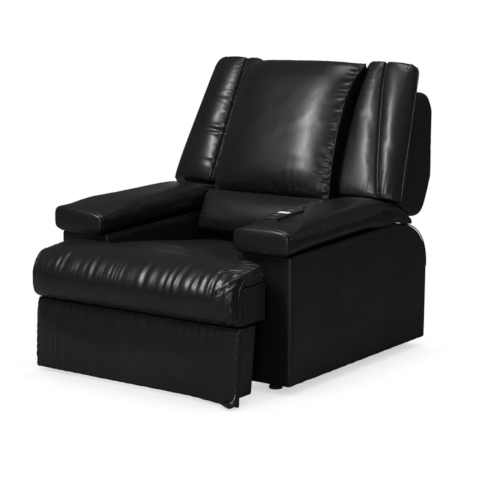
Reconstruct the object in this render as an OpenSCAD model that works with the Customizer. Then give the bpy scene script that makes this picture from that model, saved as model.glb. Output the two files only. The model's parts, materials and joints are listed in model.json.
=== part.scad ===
// Power recliner seat with a slab-arm base, a sliding seat carriage, a scissor-link
// footrest and a hinged back. The front plane of the arms is y = 0 while drawing, and
// every node is then moved so that the origin is at the middle of the footprint.
// Left and right are as seen from the front, so right is the side of +X.

/* [Arms] */
// Distance from the middle of the seat to the outer face of an arm
arm_outer_x = 478; // [460:2:500]
// Distance from the middle of the seat to the inner face of an arm
arm_inner_x = 268; // [264:1:280]
// Depth of an arm, front to rear
arm_depth = 866; // [856:2:900]
// Height of the underside of an arm above the floor
arm_clearance = 30; // [26:1:36]
// Height of the arm's top at its front
arm_front_top = 442; // [438:1:446]
// Height of the arm's top where it starts to round down
arm_rear_top = 467; // [464:1:470]
// Distance from the front to the start of the rear rounding
arm_round_start = 620; // [600:2:630]
// Height of the rear face below the rounding
arm_round_low = 290; // [270:2:300]
// Thickness of the upholstered arm panels
arm_wall = 14; // [10:1:18]
// Thickness of the board that closes the underside of an arm
arm_board_t = 12; // [9:1:15]

/* [Arm pads] */
// Overhang of a pad outside the arm
pad_over_side = 12; // [6:1:16]
// Overhang of a pad in front of the arm
pad_over_front = 30; // [20:1:34]
// Length of a pad
pad_len = 775; // [740:5:780]
// Thickness of a pad at its front
pad_front_t = 92; // [84:1:96]
// Thickness of a pad at its thickest place
pad_mid_t = 92; // [84:1:94]
// Thickness of a pad at its rear tip
pad_tip_t = 22; // [16:1:26]

/* [Seat] */
// Gap between the seat front and the arms as drawn
seat_out = 60; // [58:1:70]
// Depth of the block under the chaise roll
block_depth = 105; // [95:1:110]
// Height of the underside of the block
block_bottom = 249; // [246:1:256]
// Height of the block
block_h = 119; // [110:1:122]
// Half the width of the seat front and the footrest
front_half_w = 418; // [400:2:430]
// Half the width of the seat cushion between the arms
cushion_half_w = 262; // [250:1:263]
// Distance from the arm front to the rear of the seat cushion
cushion_rear_y = 490; // [470:2:492]
// Height of the seat cushion's crown at its front
cushion_front_top = 441; // [430:1:441]
// Height of the seat cushion's crown at its rear
cushion_rear_top = 376; // [366:1:380]
// How far the chaise roll bulges in front of its block
roll_bulge = 80; // [60:1:84]

/* [Footrest] */
// Angle of the scissor links to the level, as drawn
link_angle = 76; // [74:1:78]
// Distance between the end pivots of a scissor link
link_len = 180; // [170:1:184]
// Width of a link bar
link_w = 20; // [18:1:22]
// Thickness of a link bar
link_t = 5; // [4:0.5:6]
// Radius of the linkage pins
pin_r = 5; // [4:0.5:5.5]
// Height of the fixed pivot of the links
lift_pivot_z = 225; // [223:1:227]
// Height of the lower edge of the footrest's board
rest_low = 30; // [26:1:34]
// Height of the footrest's leather hem
rest_hem = 12; // [10:1:16]
// Height of the footrest's top
rest_top = 243; // [236:1:244]
// Thickness of the footrest pad at its top
rest_pad_t = 40; // [24:1:44]

/* [Back] */
// Rake of the back from the vertical, as drawn
rake = 26; // [25:0.5:27]
// Distance from the arm front to the back pivot
back_pivot_y = 590; // [588:1:600]
// Height of the back pivot
back_pivot_z = 300; // [296:1:304]
// Length along the rake from the pivot to the foot of the wings
wing_low = 243; // [240:1:250]
// Length along the rake from the pivot to the top of the wings
wing_high = 750; // [720:1:756]
// Half the width of the back over the arms, at the foot of the wings
wing_foot_x = 486; // [470:1:488]
// Half the width of the back at its top
wing_top_x = 430; // [415:1:445]
// Distance from the middle to the inner edge of a wing
wing_inner_x = 246; // [240:1:256]
// Distance from the pivot plane forward to the wing's face
wing_face = 90; // [84:1:94]
// Distance from the pivot plane forward to the pillow's crown
pillow_face = 185; // [170:1:190]
// Distance from the pivot plane forward to the crown of the lumbar roll
lumbar_face = 183; // [160:1:186]
// Half the width of the outer shell
shell_half_w = 433; // [424:1:438]
// Thickness of the shell's panels
shell_wall = 12; // [9:1:15]
// Thickness of the back board
board_t = 16; // [12:1:18]

/* [Drives] */
// Length of the crank on the lift tube
crank_len = 70; // [66:1:74]
// Length of the lever under the back pivot
lever_len = 150; // [145:1:155]
// Radius of the drive rods
rod_r = 6; // [5:0.5:7]

/* [Handset] */
// Width of the handset
handset_w = 62; // [56:1:66]
// Length of the handset
handset_len = 182; // [170:2:186]
// Thickness of the handset
handset_t = 17; // [15:0.5:19]

/* [Hidden] */
$fn = 48;

// Overruns, fits and gaps
over = 1;
seat_gap = 0.3;
run_fit = 0.08;
slip_fit = 0.5;
open_fit = 0.25;
soft_gap = 1.2;

// Footprint: the roll's front and the shell's rear set the middle
block_rear = -seat_out;
block_front = block_rear - block_depth;
front_reach = block_front - roll_bulge;
shell_behind = 389;
shell_rear_y = back_pivot_y + shell_behind;
origin_y = (front_reach + shell_rear_y) / 2;

// Colours
leather_c = "#1c1b1a";
leather_soft_c = "#242322";
board_c = "#b58f5c";
steel_c = "#3a3c40";
zinc_c = "#b9bcc0";
plastic_c = "#17181a";

module place() {
    translate([0, -origin_y, 0]) children();
}

module sided(side) {
    mirror([side > 0 ? 0 : 1, 0, 0]) children();
}

// Extrudes a (y, z) outline between two x planes
module slab_x(x0, x1) {
    translate([x0, 0, 0]) rotate([90, 0, 90]) linear_extrude(x1 - x0) children();
}

module rod_x(x0, x1, r, y, z) {
    translate([x0, y, z]) rotate([0, 90, 0]) cylinder(r = r, h = x1 - x0);
}

module rod_y(y0, y1, r, x, z) {
    translate([x, y0, z]) rotate([-90, 0, 0]) cylinder(r = r, h = y1 - y0);
}

module block(low, high) {
    translate(low) cube(high - low);
}

// Superellipse helpers for the padded forms
function swell(t, power) = pow(1 - pow(min(1, abs(2 * t - 1)), power), 1 / power);
function spread(i, count) = (1 - cos(180 * i / (count - 1))) / 2;
function mix(a, b, t) = a + (b - a) * t;
function power_sign(v, e) = (v < 0 ? -1 : 1) * pow(abs(v), e);

// Closed solid between two grids of points with the same rows and columns
module padded(front, rear) {
    m = len(front);
    n = len(front[0]);
    points = concat([for (row = front) each row], [for (row = rear) each row]);
    base = m * n;
    skin = [for (i = [0:m - 2]) for (j = [0:n - 2]) each [
        [i * n + j, (i + 1) * n + j + 1, i * n + j + 1],
        [i * n + j, (i + 1) * n + j, (i + 1) * n + j + 1],
        [base + i * n + j, base + i * n + j + 1, base + (i + 1) * n + j + 1],
        [base + i * n + j, base + (i + 1) * n + j + 1, base + (i + 1) * n + j]]];
    ends = [for (j = [0:n - 2]) each [
        [j, j + 1, base + j + 1], [j, base + j + 1, base + j],
        [(m - 1) * n + j, base + (m - 1) * n + j + 1, (m - 1) * n + j + 1],
        [(m - 1) * n + j, base + (m - 1) * n + j, base + (m - 1) * n + j + 1]]];
    sides = [for (i = [0:m - 2]) each [
        [i * n, base + (i + 1) * n, (i + 1) * n], [i * n, base + i * n, base + (i + 1) * n],
        [i * n + n - 1, (i + 1) * n + n - 1, base + (i + 1) * n + n - 1],
        [i * n + n - 1, base + (i + 1) * n + n - 1, base + i * n + n - 1]]];
    polyhedron(points, concat(skin, ends, sides), convexity = 6);
}

// Arms: side outline with a level sweep to the rear and a rounded rear corner
arm_round_power = 2.4;
arm_round_steps = 14;
arm_round_len = arm_depth - arm_round_start;
arm_round_drop = arm_rear_top - arm_round_low;

function arm_round(i) = let (a = 90 * i / arm_round_steps) [
    arm_round_start + arm_round_len * pow(sin(a), 2 / arm_round_power),
    arm_round_low + arm_round_drop * pow(max(0, cos(a)), 2 / arm_round_power)];

module arm_outline(inset, open) {
    low = arm_clearance + (open ? -over : inset);
    intersection() {
        arm_profile(inset);
        translate([inset, low]) square([arm_depth - 2 * inset, arm_rear_top]);
    }
}

module arm_profile(inset) {
    shift = [0, -inset];
    polygon([for (p = concat([[0, 0], [0, arm_front_top]],
        [for (i = [0:arm_round_steps]) arm_round(i)], [[arm_depth, 0]])) p + shift]);
}

module arm_box(side) {
    color(leather_c) place() sided(side) difference() {
        slab_x(arm_inner_x, arm_outer_x) arm_outline(0, false);
        slab_x(arm_inner_x + arm_wall, arm_outer_x - arm_wall) arm_outline(arm_wall, true);
    }
}

// Timber frame inside an arm: posts at the ends and rails along the top and bottom
post_w = 36;
rail_h = 40;
frame_fit = 0.4;

module arm_frame(side) {
    x0 = arm_inner_x + arm_wall + frame_fit;
    x1 = arm_outer_x - arm_wall - frame_fit;
    y0 = arm_wall + frame_fit;
    y1 = arm_depth - arm_wall - frame_fit;
    z0 = arm_clearance + arm_board_t + frame_fit;
    top_front = arm_front_top - arm_wall - frame_fit;
    rear_post_top = arm_round_low - arm_wall;
    color(board_c) place() sided(side) {
        for (x = [x0, x1 - post_w]) {
            block([x, y0, z0], [x + post_w, y0 + post_w, top_front]);
            block([x, y1 - post_w, z0], [x + post_w, y1, rear_post_top]);
            block([x, y0 + post_w, z0], [x + post_w, y1 - post_w, z0 + rail_h]);
            block([x, y0 + post_w, top_front - rail_h], [x + post_w, arm_round_start, top_front]);
            block([x, arm_round_start, z0 + rail_h], [x + post_w, arm_round_start + post_w, top_front]);
        }
    }
}

module arm_base_boards() {
    fit = frame_fit;
    color(board_c) place() for (side = [-1, 1]) sided(side)
        block([arm_inner_x + arm_wall + fit, arm_wall + fit, arm_clearance],
            [arm_outer_x - arm_wall - fit, arm_depth - arm_wall - fit, arm_clearance + arm_board_t]);
}

// Floor glides screwed up into the base boards
glide_r = 22;
glide_inset_y = 70;
glide_stem_r = 14;
glide_flat = 8;

module floor_glides() {
    x = (arm_inner_x + arm_outer_x) / 2;
    color(plastic_c) place() for (side = [-1, 1], y = [glide_inset_y, arm_depth - glide_inset_y])
        sided(side) translate([x, y, 0]) {
            cylinder(r = glide_r, h = glide_flat);
            translate([0, 0, glide_flat]) cylinder(r = glide_stem_r, h = arm_clearance - glide_flat);
        }
}

// Arm pads: a boxed front, a long rounded body and a tapered rear tip
pad_rows = 15;
pad_cols = 12;
pad_nose_rows = 3;
pad_power = 3.2;
pad_edge_angle = 5;
pad_thick_y = 540;
pad_front_round = 16;
pad_front_share = 0.86;
pad_tip_start_share = 0.74;
pad_tip_power = 1.4;
pad_rear_lift = 5;
pad_mid_x = (arm_inner_x + arm_outer_x + pad_over_side) / 2;
pad_half_w = (arm_outer_x + pad_over_side - arm_inner_x) / 2;

function arm_top_at(y) = y < arm_round_start
    ? mix(arm_front_top, arm_rear_top, max(0, y) / arm_round_start)
    : arm_round_low + arm_round_drop
        * pow(max(0, 1 - pow((y - arm_round_start) / arm_round_len, arm_round_power)), 1 / arm_round_power);

function pad_thick(s) = s < pad_tip_start_share
    ? mix(pad_front_t, pad_mid_t, s / pad_tip_start_share)
    : mix(pad_mid_t, pad_tip_t, pow((s - pad_tip_start_share) / (1 - pad_tip_start_share), pad_tip_power));

function pad_nose(y) = y < pad_front_round
    ? mix(pad_front_share, 1, sqrt(1 - pow(1 - y / pad_front_round, 2))) : 1;

function pad_row(i, up) = let (
    run = i <= pad_nose_rows ? pad_front_round * i / pad_nose_rows
        : mix(pad_front_round, pad_len, (i - pad_nose_rows) / (pad_rows - 1 - pad_nose_rows)),
    s = run / pad_len,
    y = run - pad_over_front,
    thick = pad_thick(s),
    nose = pad_nose(run),
    low = arm_top_at(y) + seat_gap + (y > arm_round_start ? pad_rear_lift : 0),
    mid = low + thick / 2)
    [for (j = [0:pad_cols - 1]) let (
        a = mix(pad_edge_angle, 180 - pad_edge_angle, j / (pad_cols - 1)),
        reach = pow(sin(a), 2 / pad_power))
        [pad_mid_x - pad_half_w * nose * power_sign(cos(a), 2 / pad_power), y,
            mid + (up ? 1 : -1) * thick / 2 * nose * reach]];

module arm_pad(side) {
    color(leather_soft_c) place() sided(side)
        padded([for (i = [0:pad_rows - 1]) pad_row(i, true)],
            [for (i = [0:pad_rows - 1]) pad_row(i, false)]);
}

// Steel base between the arms: a channel on each arm and two cross tubes
rail_reach = 22;
rail_low = 196;
rail_tall = 36;
rail_t = 2.5;
rail_front = 4;
rail_len = 550;
cross_size = 25;
cross_low = 45;
cross_front_y = 100;
cross_rear_y = 640;
cross_wall = 2.5;

module base_rail(side) {
    x1 = arm_inner_x - seat_gap;
    x0 = x1 - rail_reach;
    color(steel_c) place() sided(side) difference() {
        block([x0, rail_front, rail_low], [x1, rail_front + rail_len, rail_low + rail_tall]);
        block([x0 - over, rail_front - over, rail_low + rail_t],
            [x1 - rail_t, rail_front + rail_len + over, rail_low + rail_tall - rail_t]);
    }
}

module base_cross(y) {
    x = arm_inner_x - seat_gap;
    color(steel_c) place() difference() {
        block([-x, y, cross_low], [x, y + cross_size, cross_low + cross_size]);
        block([-x - over, y + cross_wall, cross_low + cross_wall],
            [x + over, y + cross_size - cross_wall, cross_low + cross_size - cross_wall]);
    }
}

// Back hinge brackets, bolted to the inner faces of the arms
bracket_t = 6;
bracket_x = 238.5;
bracket_front = 558;
bracket_len = 66;
bracket_low = 262;
bracket_h = 72;
foot_r = 8;
hinge_pin_r = 7;
hinge_pin_in = 14;

module back_brackets() {
    color(steel_c) place() for (side = [-1, 1]) sided(side) {
        difference() {
            block([bracket_x, bracket_front, bracket_low],
                [bracket_x + bracket_t, bracket_front + bracket_len, bracket_low + bracket_h]);
            rod_x(bracket_x - over, bracket_x + bracket_t + over, hinge_pin_r + run_fit,
                back_pivot_y, back_pivot_z);
        }
        for (y = [bracket_front + foot_r, bracket_front + bracket_len - foot_r],
            z = [bracket_low + foot_r, bracket_low + bracket_h - foot_r])
            rod_x(bracket_x + bracket_t, arm_inner_x - seat_gap, foot_r, y, z);
    }
}

// Power box on the rear cross tube, with a socket for the mains lead in its rear face
box_w = 120;
box_deep = 84;
box_h = 40;
box_x = -200;
box_over = 24;
socket_w = 24;
socket_deep = 12;

module control_box() {
    front = cross_rear_y - box_over;
    rear = front + box_deep;
    low = cross_low + cross_size + seat_gap;
    socket_x = box_x + (box_w - socket_w) / 2;
    socket_z = low + (box_h - socket_deep) / 2;
    color(plastic_c) place() difference() {
        block([box_x, front, low], [box_x + box_w, rear, low + box_h]);
        block([socket_x, rear - socket_deep, socket_z],
            [socket_x + socket_w, rear + over, socket_z + socket_deep]);
    }
}

// Linkage geometry: bars of equal length that cross at their middles. The upper end of
// the lift link is fixed, the lower end of the cross link slides in an upright slot.
half_link = link_len / 2;
closed_turn = 4;
open_turn = 64;
pivot_back = 87;
lift_y = -pivot_back;
link_dy = half_link * cos(link_angle);
link_dz = half_link * sin(link_angle);
mid_pin = [lift_y - link_dy, lift_pivot_z - link_dz];
toe_pin = [lift_y - 2 * link_dy, lift_pivot_z - 2 * link_dz];
head_pin = [lift_y - 2 * link_dy, lift_pivot_z];
slot_pin = [lift_y, lift_pivot_z - 2 * link_dz];
rest_pin = [lift_y - 3 * link_dy, lift_pivot_z - link_dz];

// Layers of the linkage across the seat, from the side plate inwards
plate_x = 238;
plate_t = 4;
layer_gap = 1.5;
link_x = plate_x - layer_gap - link_t;
cross_x = link_x - layer_gap - link_t;
head_r = 8;
head_t = 1;

module link_bar(x, a, b) {
    slab_x(x, x + link_t) hull() {
        translate(a) circle(link_w / 2);
        translate(b) circle(link_w / 2);
    }
}

module pin_hole(x, p, fit) {
    rod_x(x - over, x + link_t + over, pin_r + fit, p[0], p[1]);
}

// A shouldered pin through both link layers, with a thin head on each side
module layer_pin(p) {
    rod_x(cross_x - head_t, link_x + link_t + head_t, pin_r, p[0], p[1]);
    rod_x(cross_x - head_t, cross_x - run_fit, head_r, p[0], p[1]);
    rod_x(link_x + link_t + run_fit, link_x + link_t + head_t, head_r, p[0], p[1]);
}

// Seat side plate: a long rail plate with a leg at the front that holds the links
plate_rear = 460;
plate_low = 176;
plate_top = 285;
leg_half = 24;
leg_low = 30;
leg_sweep = 60;

module seat_plate(side) {
    slot_top = lift_pivot_z - link_len * sin(link_angle - open_turn);
    slot_low = lift_pivot_z - link_len * sin(link_angle + closed_turn);
    color(steel_c) place() sided(side) slab_x(plate_x, plate_x + plate_t) difference() {
        polygon([[lift_y - leg_half, leg_low + leg_half], [lift_y - leg_half / 2, leg_low],
            [lift_y + leg_half / 2, leg_low], [lift_y + leg_half, leg_low + leg_half],
            [lift_y + leg_sweep, plate_low], [plate_rear, plate_low], [plate_rear, plate_top],
            [block_rear + seat_gap, plate_top], [block_rear + seat_gap, block_bottom - seat_gap],
            [lift_y - leg_half, block_bottom - seat_gap]]);
        translate([lift_y, lift_pivot_z]) circle(pin_r + run_fit);
        translate([lift_y - pin_r - open_fit, slot_low - pin_r - open_fit])
            square([2 * (pin_r + open_fit), slot_top - slot_low + 2 * (pin_r + open_fit)]);
    }
}

// Nylon shoes on the side plates run in the channels of the base
shoe_len = 42;
shoe_front_y = 60;
shoe_rear_y = 395;

module glide_shoes() {
    x0 = plate_x + plate_t + seat_gap;
    x1 = arm_inner_x - seat_gap - rail_t - slip_fit;
    z0 = rail_low + rail_t + slip_fit;
    z1 = rail_low + rail_tall - rail_t - slip_fit;
    color(zinc_c) place() for (side = [-1, 1], y = [shoe_front_y, shoe_rear_y])
        sided(side) block([x0, y, z0], [x1, y + shoe_len, z1]);
}

// Upholstered block across the front of the seat
module front_block() {
    color(leather_c) place() block([-front_half_w, block_front, block_bottom],
        [front_half_w, block_rear, block_bottom + block_h]);
}

// Timber rails of the seat frame
rail_w = 33;
rail_deep = 35;

module seat_rail(side) {
    x1 = plate_x - seat_gap;
    color(board_c) place() sided(side)
        block([x1 - rail_w, block_rear + seat_gap, plate_top - rail_deep], [x1, plate_rear, plate_top]);
}

module seat_rail_rear() {
    x = plate_x - seat_gap - rail_w - seat_gap;
    color(board_c) place()
        block([-x, plate_rear - rail_w, plate_top - rail_deep], [x, plate_rear, plate_top]);
}

// Sinuous springs: flat zigzag wires from the front of the frame to its rear rail
spring_wire = 4;
spring_count = 5;
spring_pitch = 76;
spring_wave = 20;
spring_turns = 9;

module zigzag(y0, y1) {
    step = (y1 - y0) / spring_turns;
    for (k = [0:spring_turns - 1]) {
        x = (k % 2 == 0 ? 1 : -1) * spring_wave;
        translate([-spring_wave, y0 + k * step])
            square([2 * spring_wave, spring_wire]);
        translate([x - (x > 0 ? 0 : spring_wire), y0 + k * step])
            square([spring_wire, step + spring_wire]);
    }
    translate([-spring_wave, y1]) square([2 * spring_wave, spring_wire]);
}

module seat_springs() {
    mid = (spring_count - 1) / 2;
    y0 = block_rear + spring_wire;
    y1 = plate_rear - rail_w / 2;
    color(zinc_c) place() for (k = [0:spring_count - 1])
        translate([(k - mid) * spring_pitch, 0, plate_top + seat_gap])
            linear_extrude(spring_wire) zigzag(y0, y1);
}

// Seat cushion: flat below on the springs, crowned above, lower at the rear
cushion_low = plate_top + 2 * seat_gap + spring_wire;
cushion_rows = 12;
cushion_cols = 13;
cushion_edge_drop = 34;
cushion_power = 3;
cushion_round = 26;
cushion_round_share = 0.9;

function cushion_row(i, up) = let (
    t = spread(i, cushion_rows),
    y = mix(block_rear + seat_gap, cushion_rear_y, t),
    crown = mix(cushion_front_top, cushion_rear_top, t)
        - cushion_round * pow(max(0, t - cushion_round_share) / (1 - cushion_round_share), 2))
    [for (j = [0:cushion_cols - 1]) let (
        s = spread(j, cushion_cols),
        lift = swell(s, cushion_power))
        [cushion_half_w * (2 * s - 1), y,
            up ? crown - cushion_edge_drop * (1 - lift) : cushion_low]];

module seat_cushion() {
    color(leather_soft_c) place() padded([for (i = [0:cushion_rows - 1]) cushion_row(i, true)],
        [for (i = [0:cushion_rows - 1]) cushion_row(i, false)]);
}

// Chaise roll: wraps the front and the top of the block, drawn in at both ends
roll_rows = 22;
roll_cols = 13;
roll_arc_cols = 9;
roll_low_share = 0.42;
roll_front_top = 425;
roll_end_share = 0.55;
roll_end_power = 6;
block_top = block_bottom + block_h;
roll_mid_z = block_bottom + roll_low_share * (roll_front_top - block_bottom);

function roll_skin(j) = j < roll_arc_cols
    ? let (a = mix(-90, 90, j / (roll_arc_cols - 1)))
        [block_front - roll_bulge * cos(a),
            roll_mid_z + (a < 0 ? roll_mid_z - block_bottom : roll_front_top - roll_mid_z) * sin(a)]
    : let (s = (j - roll_arc_cols + 1) / (roll_cols - roll_arc_cols))
        [mix(block_front, block_rear, s), mix(roll_front_top, cushion_front_top, s)];

function roll_seat(j) = j < roll_arc_cols
    ? [block_front - seat_gap, mix(block_bottom, block_top + seat_gap, j / (roll_arc_cols - 1))]
    : [mix(block_front - seat_gap, block_rear, (j - roll_arc_cols + 1) / (roll_cols - roll_arc_cols)),
        block_top + seat_gap];

function roll_row(i, up) = let (
    t = spread(i, roll_rows),
    full = mix(roll_end_share, 1, swell(t, roll_end_power)))
    [for (j = [0:roll_cols - 1]) let (p = mix(roll_seat(j), roll_skin(j), up ? full : 0))
        [front_half_w * (2 * t - 1), p[0] - (up && j == 0 ? soft_gap : 0), p[1]]];

module chaise_roll() {
    color(leather_soft_c) place() padded([for (i = [0:roll_rows - 1]) roll_row(i, true)],
        [for (i = [0:roll_rows - 1]) roll_row(i, false)]);
}

// Cross tube of the seat carriage, which also carries the lift actuator
seat_tube_r = 11;
seat_tube_wall = 2.5;
seat_tube_y = 330;
seat_tube_z = 205;

module seat_cross_tube() {
    x = plate_x - seat_gap;
    color(steel_c) place() difference() {
        rod_x(-x, x, seat_tube_r, seat_tube_y, seat_tube_z);
        rod_x(-x - over, x + over, seat_tube_r - seat_tube_wall, seat_tube_y, seat_tube_z);
    }
}

// Lift drive: crank below the lift tube, slotted rod head, rod and actuator
crank_x = -30;
crank_gap = 12.6;
crank_t = 6;
crank_half = 9;
crank_pin_r = 4;
crank_mid = (open_turn - closed_turn) / 2;
crank_pin = [lift_y + crank_len * sin(crank_mid), lift_pivot_z - crank_len * cos(crank_mid)];
lift_line_z = lift_pivot_z - crank_len * (1 + cos((open_turn + closed_turn) / 2)) / 2;
head_slot_play = 1.6;
slot_half = crank_pin_r + head_slot_play;
head_tall = 40;
head_deep = 26;
head_wide = 12;
rod_len = 205;
tube_r = 15;
tube_front = 48;
tube_len = 205;
gear_len = 60;
gear_half = 26;
motor_r = 23;
motor_len = 110;

module drive_rod(x, head_y, z) {
    difference() {
        block([x - head_wide / 2, head_y - head_deep / 2, z - head_tall / 2],
            [x + head_wide / 2, head_y + head_deep / 2, z + head_tall / 2]);
        block([x - head_wide / 2 - over, head_y - slot_half, z - head_tall / 2 + crank_pin_r],
            [x + head_wide / 2 + over, head_y + slot_half, z + head_tall / 2 - crank_pin_r]);
    }
    rod_y(head_y + head_deep / 2, head_y + rod_len, rod_r, x, z);
}

module lift_rod() {
    color(zinc_c) place() drive_rod(crank_x, crank_pin[0], lift_line_z);
}

// Actuator: a tube that guides the rod and a gear case at its rear
module actuator(x, z, front, len) {
    difference() {
        rod_y(front, front + len, tube_r, x, z);
        rod_y(front - over, front + len + over, rod_r + run_fit, x, z);
    }
    block([x - gear_half, front + len, z - gear_half],
        [x + gear_half, front + len + gear_len, z + gear_half]);
}

module lift_actuator() {
    gear_rear = tube_front + tube_len + gear_len;
    ear_z = seat_tube_z - seat_tube_r - seat_gap;
    color(plastic_c) place() {
        actuator(crank_x, lift_line_z, tube_front, tube_len);
        block([crank_x - head_wide, gear_rear, lift_line_z - head_wide],
            [crank_x + head_wide, seat_tube_y + head_wide, lift_line_z + head_wide]);
        block([crank_x - head_wide, seat_tube_y - head_wide, lift_line_z + head_wide],
            [crank_x + head_wide, seat_tube_y + head_wide, ear_z]);
    }
}

module drive_motor(x, y, z) {
    translate([x, y, z]) rotate([0, -90, 0]) cylinder(r = motor_r, h = motor_len);
}

module lift_motor() {
    color(steel_c) place()
        drive_motor(crank_x - gear_half - seat_gap, tube_front + tube_len + gear_len / 2, lift_line_z);
}

module seat_pins() {
    color(zinc_c) place() for (side = [-1, 1]) sided(side) {
        rod_x(link_x - layer_gap, plate_x + plate_t + head_t, pin_r, lift_y, lift_pivot_z);
        rod_x(plate_x + plate_t + run_fit, plate_x + plate_t + head_t, head_r, lift_y, lift_pivot_z);
    }
}

// Lift link: from the fixed pivot, turning with the lift tube
module lift_link(side) {
    color(zinc_c) place() sided(side) difference() {
        link_bar(link_x, [lift_y, lift_pivot_z], toe_pin);
        for (p = [[lift_y, lift_pivot_z], mid_pin, toe_pin]) pin_hole(link_x, p, run_fit);
    }
}

lift_tube_wall = 2.5;
lift_tube_r = 10;

module lift_tube() {
    x = link_x;
    color(steel_c) place() {
        difference() {
            rod_x(-x, x, lift_tube_r, lift_y, lift_pivot_z);
            rod_x(-x - over, x + over, lift_tube_r - lift_tube_wall, lift_y, lift_pivot_z);
        }
        for (s = [-1, 1]) difference() {
            slab_x(crank_x + s * (crank_gap + crank_t) / 2 - crank_t / 2,
                crank_x + s * (crank_gap + crank_t) / 2 + crank_t / 2) hull() {
                translate([lift_y, lift_pivot_z]) circle(lift_tube_r + crank_t);
                translate(crank_pin) circle(crank_half);
            }
            rod_x(crank_x - head_deep, crank_x + head_deep, lift_tube_r - over, lift_y, lift_pivot_z);
        }
        rod_x(crank_x - crank_gap / 2 - over, crank_x + crank_gap / 2 + over, crank_pin_r,
            crank_pin[0], crank_pin[1]);
    }
}

module lift_pins() {
    color(zinc_c) place() for (side = [-1, 1]) sided(side) {
        layer_pin(mid_pin);
        layer_pin(toe_pin);
    }
}

module cross_link(side) {
    color(zinc_c) place() sided(side) difference() {
        link_bar(cross_x, slot_pin, head_pin);
        for (p = [slot_pin, mid_pin, head_pin]) pin_hole(cross_x, p, run_fit);
    }
}

module cross_pins() {
    color(zinc_c) place() for (side = [-1, 1]) sided(side) {
        layer_pin(head_pin);
        rod_x(cross_x - head_t, plate_x + plate_t + head_t, pin_r, slot_pin[0], slot_pin[1]);
        rod_x(cross_x - head_t, cross_x - run_fit, head_r, slot_pin[0], slot_pin[1]);
    }
}

module toe_links() {
    color(zinc_c) place() for (side = [-1, 1]) sided(side) difference() {
        link_bar(cross_x, toe_pin, rest_pin);
        pin_hole(cross_x, toe_pin, run_fit);
        pin_hole(cross_x, rest_pin, open_fit);
    }
}

module rest_pins() {
    color(zinc_c) place() for (side = [-1, 1]) sided(side) layer_pin(rest_pin);
}

// Footrest: a leather-covered board with side cheeks, carried by two brackets
rest_board_t = 12;
rest_front_top = 168;
rest_front_low = 186;
cheek_t = 15;
cheek_top = 100;
cheek_low = 125;

function rest_front(z) = mix(-rest_front_low, -rest_front_top, (z - rest_low) / (rest_top - rest_low));

module rest_board() {
    color(leather_c) place() {
        slab_x(-front_half_w, front_half_w) polygon([[rest_front(rest_low), rest_low],
            [rest_front(rest_low) + rest_board_t, rest_low],
            [rest_front(rest_top) + rest_board_t, rest_top - seat_gap],
            [rest_front(rest_top), rest_top - seat_gap]]);
        for (side = [-1, 1]) sided(side) slab_x(front_half_w - cheek_t, front_half_w)
            polygon([[rest_front(rest_low), rest_low], [-cheek_low, rest_low],
                [-cheek_top, rest_top - seat_gap], [rest_front(rest_top), rest_top - seat_gap]]);
    }
}

module rest_brackets() {
    seat = rest_board_t + seat_gap;
    half = link_w / 2;
    low_z = rest_pin[1] - link_w;
    top_z = head_pin[1] + half;
    color(steel_c) place() for (side = [-1, 1]) sided(side) slab_x(link_x, link_x + link_t) difference() {
        union() {
            hull() {
                translate(head_pin) circle(half);
                translate(rest_pin) circle(half);
            }
            polygon([[rest_front(low_z) + seat, low_z], [rest_pin[0], rest_pin[1] - half],
                rest_pin, head_pin, [head_pin[0], top_z], [rest_front(top_z) + seat, top_z]]);
        }
        for (p = [head_pin, rest_pin]) translate(p) circle(pin_r + run_fit);
        polygon([[rest_front(0) + seat, 0], [rest_front(rest_top) + seat, rest_top],
            [rest_front(rest_top) - link_len, rest_top], [rest_front(0) - link_len, 0]]);
    }
}

rest_rows = 16;
rest_cols = 9;
rest_hem_t = 28;
rest_edge_share = 0.55;
rest_side_power = 5;
rest_top_power = 4;

function rest_row(i, up) = let (t = spread(i, rest_rows))
    [for (j = [0:rest_cols - 1]) let (
        s = spread(j, rest_cols),
        z = mix(rest_hem, rest_top + soft_gap, s),
        full = mix(rest_edge_share, 1, swell(t, rest_side_power) * swell(s, rest_top_power)))
        [front_half_w * (2 * t - 1),
            rest_front(z) - seat_gap - (up ? mix(rest_hem_t, rest_pad_t, s) * full : 0), z]];

module rest_pad() {
    color(leather_soft_c) place() padded([for (i = [0:rest_rows - 1]) rest_row(i, true)],
        [for (i = [0:rest_rows - 1]) rest_row(i, false)]);
}

// Back, drawn upright about its pivot and then raked
module on_back() {
    translate([0, back_pivot_y, back_pivot_z]) rotate([-rake, 0, 0]) children();
}

stile_half = 22;
stile_t = 5;
stile_x = 229;
board_rear = -6;
board_front = board_rear - board_t;
stile_top = 610;
board_foot = 18;
board_top = 700;
board_wide = shell_half_w - shell_wall - seat_gap;
board_narrow = 228;

module back_stile(side) {
    color(steel_c) place() on_back() sided(side) difference() {
        slab_x(stile_x, stile_x + stile_t) union() {
            circle(stile_half);
            polygon([[-stile_half, 0], [stile_half, 0], [stile_half, stile_top],
                [board_rear + seat_gap, stile_top], [board_rear + seat_gap, wing_low - stile_half],
                [-stile_half, wing_low - 2 * stile_half]]);
        }
        rod_x(stile_x - over, stile_x + stile_t + over, hinge_pin_r + run_fit, 0, 0);
    }
}

module back_board() {
    color(leather_c) place() on_back() translate([0, board_rear, 0]) rotate([90, 0, 0])
        linear_extrude(board_t) polygon([[-board_narrow, board_foot], [board_narrow, board_foot],
            [board_narrow, wing_low], [board_wide, wing_low], [board_wide, board_top],
            [-board_wide, board_top], [-board_wide, wing_low], [-board_narrow, wing_low]]);
}

// Lever tube on the pivot axis, with the lever that the recline rod pulls
back_tube_r = 12.5;
lever_x = 110;
lever_mid = 7;
lever_pin = [back_pivot_y + lever_len * sin(lever_mid), back_pivot_z - lever_len * cos(lever_mid)];

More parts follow.
